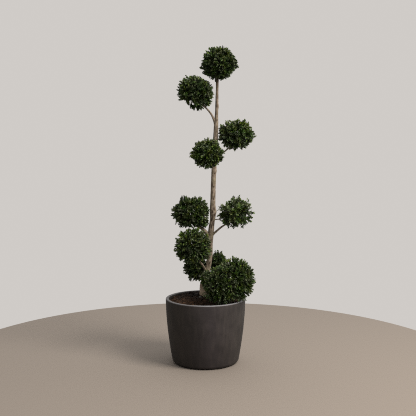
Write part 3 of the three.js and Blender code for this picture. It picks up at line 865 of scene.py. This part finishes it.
# %% How each ball's edge runs
# pairs of a direction, in degrees from +X towards +Z, and the reach there in hundredths of the plain skin's;
# a lobe that isn't listed keeps the plain skin
EDGE = {
    "top": [(10, 84), (42, 88), (60, 99), (118, 96), (135, 103), (155, 93), (170, 94), (198, 113), (230, 102),
            (252, 105), (320, 87), (355, 102)],
    "upper_left": [(30, 98), (45, 89), (60, 88), (90, 98), (102, 94), (122, 112), (150, 104), (182, 98),
                   (205, 100), (220, 70), (235, 80), (252, 99), (278, 109), (320, 108), (340, 102)],
    "upper_right": [(0, 112), (12, 92), (46, 106), (60, 110), (70, 95), (86, 108), (101, 90), (138, 109),
                    (152, 107), (200, 99), (255, 112), (280, 88), (298, 120), (312, 101), (340, 95)],
    "middle": [(15, 98), (30, 72), (44, 100), (100, 99), (112, 88), (140, 105), (150, 90), (172, 102),
               (194, 110), (210, 85), (222, 108), (250, 106), (280, 102), (320, 95), (345, 101)],
    "lower_left": [(0, 103), (45, 114), (78, 102), (90, 76), (100, 101), (118, 117), (130, 102), (144, 70),
                   (160, 105), (184, 116), (205, 103), (225, 120), (240, 119), (255, 107), (285, 106),
                   (315, 116), (345, 106)],
    "lower_right": [(0, 113), (10, 76), (20, 113), (40, 106), (58, 116), (80, 108), (100, 109), (122, 88),
                    (142, 80), (160, 96), (172, 110), (184, 92), (205, 118), (245, 114), (265, 96),
                    (285, 112), (310, 97), (330, 108), (345, 108)],
    "low_left": [(0, 101), (60, 107), (110, 103), (120, 94), (130, 108), (142, 94), (152, 104), (162, 94),
                 (190, 103), (222, 119), (240, 110), (270, 101), (310, 111), (345, 114)],
    "back_left": [(0, 100), (60, 110), (100, 100), (180, 107), (203, 108), (216, 76), (232, 119), (252, 120),
                  (290, 98), (330, 110)],
    "back_right": [(0, 100), (22, 98), (38, 84), (55, 62), (72, 74), (82, 72), (90, 120), (110, 94),
                   (150, 92), (180, 100)],
    "front": [(0, 107), (10, 99), (30, 110), (42, 100), (70, 106), (90, 102), (102, 101), (112, 97),
              (130, 102), (200, 103), (280, 116), (320, 107), (340, 105)],
    "front_2": [(100, 100), (130, 114), (155, 100), (182, 103), (215, 122), (240, 106), (280, 110),
                (320, 100)],
}


def skin_reach(directions, half, edge):
    """The skin's reach as a share of its plain reach: the edge's where a direction points sideways as seen
    from the front, fading to 1 towards the front and the back."""
    if edge is None:
        return np.ones(len(directions))
    at, reach = np.array(edge, float).T
    turn = np.degrees(np.arctan2(directions[:, 2] * half[2], directions[:, 0] * half[0]))
    value = np.interp(turn, at, reach, period=360) / 100
    sideways = directions[:, 0] ** 2 + directions[:, 2] ** 2
    return 1 + (value - 1) * sideways ** 2


print("points on the edges:", sum(len(points) for points in EDGE.values()))

# %% [markdown]
# ## Where leaves can't be
# A leaf can't grow through the pot, the compost, a limb or another ball. It also doesn't grow where a ball
# has a thin place that light comes through. Pushing leaves away would bunch them, so a test says which
# points are free, and whatever fails it is left out. A thin place is a small circle as seen from the front,
# and a point is in it if the line of sight through the point crosses the circle.

# %% Thin places
# the X and Z of each, at the depth of its ball's centre, and its radius
THIN_PLACES = {
    "upper_left": [(-5, 1585, 5), (-84, 1494, 9), (-70, 1483, 7)],
    "upper_right": [(112, 1367, 6)],
    "lower_left": [(-1, 841, 5)],
    "lower_right": [(158, 896, 7), (240, 851, 8), (239, 817, 7), (257, 881, 8), (239, 933, 7), (214, 944, 6),
                    (175, 949, 5), (138, 939, 7), (110, 914, 8), (76, 867, 9), (154, 790, 6), (212, 788, 6),
                    (263, 822, 7)],
    "back_right": [(117, 604, 13), (134, 591, 13), (64, 624, 6), (148, 576, 9), (101, 617, 8), (95, 633, 9)],
    "front": [(116, 594, 5), (-1, 411, 9), (129, 591, 6), (147, 602, 6)],
}


def in_thin_place(points, name):
    """True where the line of sight through a point meets a thin place, at the depth of the ball's centre."""
    camera_x, camera_y, camera_z = CAMERA_MM
    away = (BALLS[name][0][0][1] - camera_y) / (points[:, 1] - camera_y)
    x = camera_x + (points[:, 0] - camera_x) * away
    z = camera_z + (points[:, 2] - camera_z) * away
    gaps = [np.hypot(x - at_x, z - at_z) < radius for at_x, at_z, radius in THIN_PLACES.get(name, [])]
    return np.any(gaps, axis=0) if gaps else np.zeros(len(points), bool)


print("thin places:", sum(len(places) for places in THIN_PLACES.values()))

# %% [markdown]
# The rest of the test measures distances. Other balls are measured by their half sizes, the pot and the
# compost by their heights and radii. Limbs are rows of beads along their axes, which is far quicker than
# a test against their meshes and close enough for leaves.

# %% The test for a free place
TRUNK_BEADS = 260
BOUGH_BEADS = 30
BEADS_IN_BALL = 5
# shares and gaps that foliage keeps: of other balls' space, to the trunk, boughs, inner wall, rim and compost
OTHERS_SPACE = 0.97
TRUNK_GAP = 2
BOUGH_GAP = 1
WALL_GAP = 3
RIM_GAP = 1
SOIL_GAP = 4


def limb_beads():
    """Points along the trunk and boughs, with their radii and gaps. A bough's last beads are in its ball."""
    centre, radius = trunk_at(np.linspace(TRUNK_FOOT, TRUNK_TIP, TRUNK_BEADS))
    points, radii = [centre], [radius + TRUNK_GAP]
    for root_height, bend, tip, thick, thin in BOUGHS.values():
        points.append(bent_path(trunk_at(root_height)[0], bend, tip, BOUGH_BEADS)[:-BEADS_IN_BALL])
        radii.append(np.linspace(thick, thin, BOUGH_BEADS)[:-BEADS_IN_BALL] + BOUGH_GAP)
    return np.concatenate(points), np.concatenate(radii)


LIMB_POINTS, LIMB_RADII = limb_beads()


def is_free(points, name):
    """True where a point is outside the other balls' space, off the limbs, above the compost or, past the
    pot's inner wall, above the rim, and in no thin place."""
    others = [lobe for other, lobes in BALLS.items() if other != name for lobe in lobes]
    taken = np.min([scaled_distance(points, lobe) for lobe in others], axis=0) < OTHERS_SPACE
    gap = np.linalg.norm(points[:, None] - LIMB_POINTS[None], axis=-1) - LIMB_RADII
    past_wall = np.hypot(points[:, 0], points[:, 1]) > RIM_RADIUS - POT_WALL - WALL_GAP
    low = points[:, 2] < np.where(past_wall, POT_HEIGHT + RIM_GAP, SOIL_AT_WALL + SOIL_GAP)
    return ~taken & (gap.min(axis=1) > 0) & ~low & ~in_thin_place(points, name)


print("limb beads:", len(LIMB_POINTS))

# %% [markdown]
# ## How the foliage grows
# A clipped ball is a thicket with a dense skin. Its stem splits into a few main twigs, they split into
# branches, and each branch ends in a bunch of short shoots that the shears have levelled. Only the last
# few centimetres of a shoot have leaves. The same rule is followed here: evenly spread seeded directions
# give the ends, and each end grows from the nearest end of the level below. A second, deeper layer of
# shoots keeps the inside dark.

# %% Even directions, and the nearest start
GOLDEN_ANGLE = math.pi * (3 - math.sqrt(5))


def spread(count, rng, jitter):
    """Even directions on a sphere: equal steps in height, each a golden angle on, then jittered."""
    index = np.arange(count)
    z = 1 - (2 * index + 1) / count
    turn = index * GOLDEN_ANGLE + rng.random() * 2 * np.pi
    level = np.sqrt(1 - z * z)
    found = np.stack([level * np.cos(turn), level * np.sin(turn), z], -1)
    found = found + jitter * (rng.random((count, 3)) - 0.5)
    return found / np.linalg.norm(found, axis=1, keepdims=True)


def nearest(ends, starts):
    """For each end, the start that lies nearest to it."""
    gap = np.linalg.norm(ends[:, None] - starts[None], axis=-1)
    return starts[gap.argmin(axis=1)]


print("three even directions:", np.round(spread(3, np.random.default_rng(1), 0), 2).tolist())

# %% [markdown]
# The tips of the shoots are the skin that the shears cut. They are spread evenly over it, then moved a
# little. Some balls have grown out since they were clipped, so their shoots stand further apart, reach less
# evenly, and many are missing.

# %% Shoots of one lobe
# how loosely each ball has grown out, from 0 for a closed clipped skin to 1 for separate sprays
LOOSE = {"lower_right": 1.0, "upper_right": 0.25, "back_right": 0.5, "back_left": 0.3}
# what full looseness adds: to the shoots' spacing and scatter, to the inner layer's depth, and to the gaps
LOOSE_SPACING = 0.15
LOOSE_SCATTER = 1
LOOSE_DEEPER = 0.14
LOOSE_MISSING = 0.42
SKIN_LUMPS = 0.035
SKIN_SCATTER = 0.06
LUMP_SIZE = 52
# where the lumps are lower than this, so many more of the shoots are missing
HOLLOW_BELOW = -0.5
HOLLOW_MISSING = 0.25
# directions move by this many spacings
DIRECTION_JITTER = 1.6
# a shoot doesn't end this deep in another lobe of its ball
LOBE_SPACE = 0.84


def skin_shoots(name, number, branches, spacing, share, seed, rng):
    """Starts and tips of one lobe's shoots. The tips lie on a skin at a share of its reach, plus lumps and
    scatter, times the edge's reach."""
    centre, half = np.array(BALLS[name][number], float)
    loose = LOOSE.get(name, 0)
    spacing = spacing * (1 + LOOSE_SPACING * loose)
    count = int(4 * np.pi * half[0] * half[2] / spacing ** 2)
    directions = spread(count, rng, DIRECTION_JITTER * spacing / half[0])
    lumps = fractal(centre + directions * half, LUMP_SIZE, octaves=2, seed=seed)
    scatter = SKIN_SCATTER * (1 + LOOSE_SCATTER * loose)
    reach = share + SKIN_LUMPS * lumps + rng.uniform(-scatter, scatter, count)
    edge = EDGE.get(name if number == 0 else f"{name}_{number + 1}")
    tips = centre + directions * half * (reach * skin_reach(directions, half, edge))[:, None]
    kept = rng.random(count) < 1 - LOOSE_MISSING * loose - HOLLOW_MISSING * (lumps < HOLLOW_BELOW)
    for other in BALLS[name][:number] + BALLS[name][number + 1:]:
        kept &= scaled_distance(tips, other) > LOBE_SPACE
    kept &= is_free(tips, name)
    return nearest(tips[kept], branches), tips[kept]


print("loose balls:", list(LOOSE))

# %% [markdown]
# The levels of one ball are grown from the inside out. The number of branches follows the ball's surface,
# so a small ball isn't denser than a large one. Main twigs and branches start as thick as the wood that
# they grow from ends.

# %% All the wood of one ball
MAINS = 9
MAIN_SHARE = 0.42
MAIN_JITTER = 0.4
# branches of a ball of the typical half size
BRANCHES = 64
TYPICAL_HALF = 105
BRANCH_SHARE = 0.64
BRANCH_JITTER = 0.3
BRANCH_REACH = (0.9, 1.08)
TOP_STEM_FROM = [65, 0, TRUNK_TIP]
STEM_END, MAIN_END, BRANCH_END = 3.2, 2.2, 1.4
SHOOT_SPACING = 19
SKIN_SHARE = 0.95
INNER_SPACING = 24
INNER_SHARE = 0.8
# inner shoots start this share of the way out to the branches' ends, or from the main twigs' ends
INNER_FROM = 0.6
OUTER_LUMP_SEED, INNER_LUMP_SEED = 500, 600


def grow_ball(name, seed):
    """Twig segments (from, to, two radii), and outer and inner shoots (from, to) of one ball."""
    rng = np.random.default_rng(seed)
    segments, outer, inner = [], [], []
    stem_from = np.array(BOUGHS[name][2] if name in BOUGHS else TOP_STEM_FROM)
    stem_radius = BOUGHS[name][4] if name in BOUGHS else TRUNK[-1, 3]
    inner_share = INNER_SHARE * (1 - LOOSE_DEEPER * LOOSE.get(name, 0))
    for number, lobe in enumerate(BALLS[name]):
        centre, half = np.array(lobe, float)
        start = stem_from if number == 0 else np.array(BALLS[name][0][0], float)
        segments.append((start[None], centre[None], stem_radius, STEM_END))
        mains = centre + spread(MAINS, rng, MAIN_JITTER) * half * MAIN_SHARE
        segments.append((np.repeat(centre[None], MAINS, 0), mains, STEM_END, MAIN_END))
        count = int(BRANCHES * (half.mean() / TYPICAL_HALF) ** 2)
        branches = spread(count, rng, BRANCH_JITTER) * half * BRANCH_SHARE
        branches = centre + branches * rng.uniform(*BRANCH_REACH, (count, 1))
        segments.append((nearest(branches, mains), branches, MAIN_END, BRANCH_END))
        outer.append(skin_shoots(name, number, branches, SHOOT_SPACING, SKIN_SHARE,
                                 seed + OUTER_LUMP_SEED, rng))
        deep = np.concatenate([branches * INNER_FROM + centre * (1 - INNER_FROM), mains])
        inner.append(skin_shoots(name, number, deep, INNER_SPACING, inner_share,
                                 seed + INNER_LUMP_SEED, rng))
    outer, inner = ([np.concatenate(ends) for ends in zip(*shoots)] for shoots in (outer, inner))
    return segments, outer, inner


print("wood levels: stem, mains, branches, shoots")

# %% [markdown]
# ## One leaf
# A leaf is a small blunt oval blade. It is folded a little along its midrib, so that its two halves catch the
# light differently, and bent back at its end. A flat card with a picture of a leaf would do from afar, but
# it has no fold. Eight triangles are enough for the fold and the bend, which matters for eighty thousand
# leaves. Copies of the blade are placed by three directions: along the leaf, across it, and its normal.

# %% Leaf blade
# along, across and height of each point of the blade, in shares of its length and width
BLADE = np.array([
    [0, 0, 0], [0.3, 0.38, 0.08], [0.66, 0.5, 0.1], [0.92, 0.26, 0], [1, 0, -0.08],
    [0.92, -0.26, 0], [0.66, -0.5, 0.1], [0.3, -0.38, 0.08], [0.55, 0, -0.06],
])
MIDDLE_POINT = 8
TIP_POINT = 4
BLADE_FACES = np.array([[k, MIDDLE_POINT, (k + 1) % MIDDLE_POINT] for k in range(MIDDLE_POINT)])[:, ::-1]


def unit_vectors(vectors):
    """Vectors scaled to length one."""
    return vectors / np.linalg.norm(vectors, axis=-1, keepdims=True)


def leaf_points(root, along, normal, length, width):
    """Blade points of every leaf: its root, plus shares of its length along, width across and height up."""
    across = unit_vectors(np.cross(normal, along))
    up = np.cross(along, across)
    part = BLADE[None, :, :]
    return (root[:, None] + part[..., :1] * length[:, None, None] * along[:, None]
            + part[..., 1:2] * width[:, None, None] * across[:, None]
            + part[..., 2:] * width[:, None, None] * up[:, None])


print("leaf:", len(BLADE), "points,", len(BLADE_FACES), "triangles")

# %% [markdown]
# ## Leaves on a shoot
# The leaves stand round the shoot, each a golden angle on from the last, wide open at the base and closing
# forwards at the tip, which makes the small rosettes that the skin of a ball is built of. Scattering them
# at random would lose that order. Loose growth has larger leaves that stand wider open.

# %% Leaves round their shoots
LEAVES_PER_SHOOT = 16
LEAFY_LENGTH = 44
LEAF_LENGTH = 18
LEAF_WIDTH = 8.6
# sizes vary from shoot to shoot and from leaf to leaf, and shrink by a share towards the tip
SHOOT_SIZES = (0.82, 1.15)
LEAF_SIZES = (0.86, 1.12)
TIP_SMALLER = 0.25
# the last leaf starts this share of its length behind the tip
LAST_LEAF_BACK = 0.8
OPEN_ANGLE = math.radians(52)
TIP_ANGLE = math.radians(14)
CLOSING_POWER = 0.9
LOOSE_OPENING = math.radians(16)
LOOSE_LARGER = 0.14
# scatter in radians of each leaf's turn and opening, and in lengths of its normal
TURN_SCATTER, OPEN_SCATTER, NORMAL_SCATTER = 0.25, 0.16, 0.15
# a direction that hardly any shoot follows, to start the square directions from
SHOOT_SPARE = [0.21, 0.35, 0.91]


def leaves_on_shoots(start, tip, loose, rng):
    """Leaf points for every shoot: (shoots, leaves, points, 3)."""
    shoot = unit_vectors(tip - start)
    side = unit_vectors(np.cross(shoot, SHOOT_SPARE))
    other = np.cross(shoot, side)
    share = np.linspace(0, 1, LEAVES_PER_SHOOT)[None]
    turn = (np.arange(LEAVES_PER_SHOOT) * GOLDEN_ANGLE)[None] + rng.random((len(tip), 1)) * 2 * np.pi
    turn = turn + rng.normal(0, TURN_SCATTER, turn.shape)
    open_by = OPEN_ANGLE + (TIP_ANGLE - OPEN_ANGLE) * share ** CLOSING_POWER
    open_by = open_by + rng.normal(0, OPEN_SCATTER, turn.shape) + LOOSE_OPENING * loose
    outward = side[:, None] * np.cos(turn)[..., None] + other[:, None] * np.sin(turn)[..., None]
    along = shoot[:, None] * np.cos(open_by)[..., None] + outward * np.sin(open_by)[..., None]
    normal = shoot[:, None] * np.sin(open_by)[..., None] - outward * np.cos(open_by)[..., None]
    normal = unit_vectors(normal + rng.normal(0, NORMAL_SCATTER, normal.shape))
    size = rng.uniform(*SHOOT_SIZES, (len(tip), 1)) * rng.uniform(*LEAF_SIZES, turn.shape)
    size = size * (1 - TIP_SMALLER * share ** 2) * (1 + LOOSE_LARGER * loose)
    back = LEAFY_LENGTH * (1 - share) + LEAF_LENGTH * LAST_LEAF_BACK * size * share
    root = tip[:, None] - shoot[:, None] * back[..., None]
    flat = (-1, 3)
    made = leaf_points(root.reshape(flat), along.reshape(flat), normal.reshape(flat),
                       (LEAF_LENGTH * size).ravel(), (LEAF_WIDTH * size).ravel())
    return made.reshape(len(tip), LEAVES_PER_SHOOT, len(BLADE), 3)


print("leaves:", LEAVES_PER_SHOOT, "on a shoot, each about", LEAF_LENGTH, "by", LEAF_WIDTH, "mm")

# %% [markdown]
# ## Twigs, and the greens of a shoot
# Twigs are hardly seen between the leaves, so three sides are enough. A shoot is mostly of one green, as on
# the plant, where a whole shoot is old or new. Leaves are younger towards its tip. Paler greens are also
# dealt out more on the top of a ball and on some whole balls: partly younger growth on the balls that have
# grown most, partly painted light where the light falls most. All inner leaves are old, the darkest green,
# which also paints shade inside the ball.

# %% Twig shape and leaf greens
TWIG_SIDES = 3
TWIG_SPARE = [0.43, 0.21, 0.88]
TWIG_FACES = np.array([[0, 1, 4], [0, 4, 3], [1, 2, 5], [1, 5, 4],
                       [2, 0, 3], [2, 3, 5], [2, 1, 0], [3, 4, 5]])
# extra share of pale young leaves on some balls: partly growth since they were clipped, partly painted light
# on the balls that are more brightly lit
YOUTH_AND_LIGHT = {"lower_right": 0.1, "upper_right": 0.15, "middle": 0.14, "low_left": 0.15, "front": 0.06}
# paler greens towards the top of each ball: partly younger growth, partly painted light from above
YOUNG_AND_LIT_ON_TOP = 0.2
YOUNG_SHARE = 0.08
YOUNG_AT_TIP = 0.25
OLD_SHARE = 0.45
OLD_LESS_AT_TIP = 0.25
# how much of the draw is the shoot's, the rest being the leaf's own
SHOOT_DRAW = 0.6


def twig_rings(start, end, start_radius, end_radius):
    """Three-sided tapering twigs: six points each, three round the start and three round the end."""
    along = unit_vectors(end - start)
    side = unit_vectors(np.cross(along, TWIG_SPARE))
    other = np.cross(along, side)
    turn = np.arange(TWIG_SIDES) * 2 * np.pi / TWIG_SIDES
    ring = side[:, None] * np.cos(turn)[:, None] + other[:, None] * np.sin(turn)[:, None]
    return np.concatenate([start[:, None] + ring * start_radius, end[:, None] + ring * end_radius], 1)


def shades_for(shape, youth_and_light, rise, rng):
    """A shade number for each of (shoots, leaves): 0 where a draw is below the old share, 2 where it is above
    1 less the young share, else 1. Rise is each shoot's place on the ball, from -1 to 1."""
    share = np.linspace(0, 1, shape[1])[None]
    drawn = (1 - SHOOT_DRAW) * rng.random(shape) + SHOOT_DRAW * rng.random((shape[0], 1))
    young = YOUNG_SHARE + youth_and_light + YOUNG_AND_LIT_ON_TOP * rise[:, None] + YOUNG_AT_TIP * share ** 2
    old = OLD_SHARE - OLD_LESS_AT_TIP * share - youth_and_light - YOUNG_AND_LIT_ON_TOP * rise[:, None]
    return np.where(drawn < old, 0, np.where(drawn > 1 - young, 2, 1))


print("greens:", dict(enumerate(LEAF_SHADES)))

# %% [markdown]
# ## Growing every ball
# Each ball is grown from its own seed. Leaves that aren't free are left out, and a shoot that loses half of
# its leaves is left out with all of them, because single leaves would hang in the air. The balls go into
# three groups, and each group is one piece for each green and one for the twigs, so that no piece is too
# heavy to handle.

# %% Grow the balls and sort their leaves by green and by group
GROUPS = {
    "upper": ["top", "upper_left", "upper_right", "middle"],
    "lower": ["lower_left", "lower_right", "low_left"],
    "foot": ["back_left", "back_right", "front"],
}
FIRST_SEED = 200
LEAF_SEED = 1000
LEAST_LEAFY = 0.5
# a shoot's wood stops this share short of its tip, and tapers between these radii
BARE_TIP = 0.25
SHOOT_THICK, SHOOT_THIN = 1.5, 0.8


def dress_ball(name):
    """Twig rings of one ball, and a list of its leaves' points for each green."""
    seed = FIRST_SEED + list(BALLS).index(name)
    rng = np.random.default_rng(seed + LEAF_SEED)
    segments, outer, inner = grow_ball(name, seed)
    twigs = [twig_rings(*segment) for segment in segments]
    sprays = {shade: [] for shade in LEAF_SHADES}
    for start, tip in (outer, inner):
        leaves = leaves_on_shoots(start, tip, LOOSE.get(name, 0), rng)
        # inner shoots keep green 0, old dark leaves, which also paint the shade deep inside the ball
        shades = np.zeros(leaves.shape[:2], int)
        if tip is outer[1]:
            middle_z, half_z = np.array(BALLS[name][0])[:, 2]
            shades = shades_for(shades.shape, YOUTH_AND_LIGHT.get(name, 0), (tip[:, 2] - middle_z) / half_z, rng)
        checked = [is_free(leaves[:, :, point].reshape(-1, 3), name) for point in (TIP_POINT, MIDDLE_POINT)]
        free = (checked[0] & checked[1]).reshape(shades.shape)
        leafy = free.mean(axis=1) > LEAST_LEAFY
        wood_end = tip - BARE_TIP * (tip - start)
        twigs.append(twig_rings(start[leafy], wood_end[leafy], SHOOT_THICK, SHOOT_THIN))
        for number, shade in enumerate(LEAF_SHADES):
            sprays[shade].append(leaves[(shades == number) & free & leafy[:, None]])
    return twigs, sprays


for group, names in GROUPS.items():
    balls = [dress_ball(name) for name in names]
    nodes = [f"foliage_{name}" for name in names]
    for shade, material in LEAF_SHADES.items():
        blades = np.concatenate([part for _, sprays in balls for part in sprays[shade]])
        faces = repeated(BLADE_FACES, len(blades), len(BLADE))
        add_piece(f"leaves_{group}_{shade}", blades.reshape(-1, 3), [faces], material, "foliage", nodes)
    rings = np.concatenate([ring for twigs, _ in balls for ring in twigs])
    faces = repeated(TWIG_FACES, len(rings), 2 * TWIG_SIDES)
    add_piece(f"twigs_{group}", rings.reshape(-1, 3), [faces], twig_bark, "bark", nodes, smooth=False)

# %% [markdown]
# ## Floor and surround
# The setting is a plain pale floor in a softly lit studio. A pale surround gives even light from all sides,
# as an open sky does. It is brighter overhead and on the right, and dimmer towards the camera, so that the
# leaves facing the camera keep their dark gaps. Three tints of white, one for each axis, say that.

# %% Floor and surround
FLOOR_RADIUS_M = 1.6
FLOOR_POINTS = 128
FLOOR_COLOUR = "#857d75"
SURROUND_TINTS = {
    "X": [(0.0, "#6c6a68"), (0.33, "#cfcbc7"), (0.68, "#cfcbc7"), (1.0, "#e2deda")],
    "Y": [(0.0, "#bebebe"), (0.35, "#cccccc"), (0.6, "#ffffff"), (1.0, "#ffffff")],
    "Z": [(0.0, "#b4b4b4"), (0.62, "#b4b4b4"), (1.0, "#ffffff")],
}
SURROUND_STRENGTH = 2.2

rim, _ = turned_rings(np.array([FLOOR_RADIUS_M]), np.zeros(1), FLOOR_POINTS)
floor_mesh = bpy.data.meshes.new("floor")
floor_mesh.from_pydata(rim[0].tolist(), [], [list(range(FLOOR_POINTS))])
floor_material, tree, shader, _ = new_material("pale_studio_floor")
set_node(tree, shader, {"Base Color": linear(FLOOR_COLOUR), "Roughness": 0.9})
floor_mesh.materials.append(floor_material)
floor = bpy.data.objects.new("floor", floor_mesh)
bpy.context.collection.objects.link(floor)

world = bpy.data.worlds.new("studio_surround")
world.use_nodes = True
tree = world.node_tree
direction = add_node(tree, "ShaderNodeTexCoord").outputs["Generated"]
parts = add_node(tree, "ShaderNodeSeparateXYZ", links={"Vector": direction})
colour = add_node(tree, "ShaderNodeRGB").outputs["Color"]
colour.default_value = linear("#ffffff")
for axis, stops in SURROUND_TINTS.items():
    colour = tinted(tree, colour, parts.outputs[axis], -1, 1, stops)
set_node(tree, tree.nodes["Background"], {"Strength": SURROUND_STRENGTH}, {"Color": colour})
bpy.context.scene.world = world
print("floor and surround ready")

# %% [markdown]
# ## Lamps and film
# One large lamp high on the right in front gives the plant its lit side and its shaded side. A small low
# spot on the left reaches under the balls to the trunk's foot, as sun does between leaves. Colours are shown
# as they are, without a film look. Denoising melts small leaves together, so it is off, and a narrow pixel
# filter keeps their edges crisp.

# %% Lamps and how the picture is taken
FILTER_WIDTH_PX = 1.1


def add_lamp(name, kind, place, target, power, colour, **settings):
    """A lamp of a kind, in metres and watts, that faces a target point, with the settings of that kind."""
    data = bpy.data.lights.new(name, kind)
    data.energy = power
    data.color = linear(colour)[:3]
    for key, value in settings.items():
        setattr(data, key, value)
    lamp = bpy.data.objects.new(name, data)
    lamp.location = place
    away = np.array(place) - np.array(target)
    lamp.rotation_euler = (math.atan2(math.hypot(away[0], away[1]), away[2]), 0,
                           math.atan2(away[0], -away[1]))
    bpy.context.collection.objects.link(lamp)


add_lamp("key", "AREA", place=(2.9, -2.1, 4.4), target=(0.05, 0, 0.9), power=300, colour="#fff6ec",
         size=2.0)
add_lamp("foot", "SPOT", place=(-1.6, -1.9, 1.0), target=(-0.04, 0.05, 0.42), power=50, colour="#fff2e6",
         spot_size=math.radians(6), spot_blend=1.0, shadow_soft_size=0.05)
bpy.context.scene.view_settings.view_transform = "Standard"
bpy.context.scene.cycles.use_denoising = False
bpy.context.scene.cycles.filter_width = FILTER_WIDTH_PX
print("lamps ready")
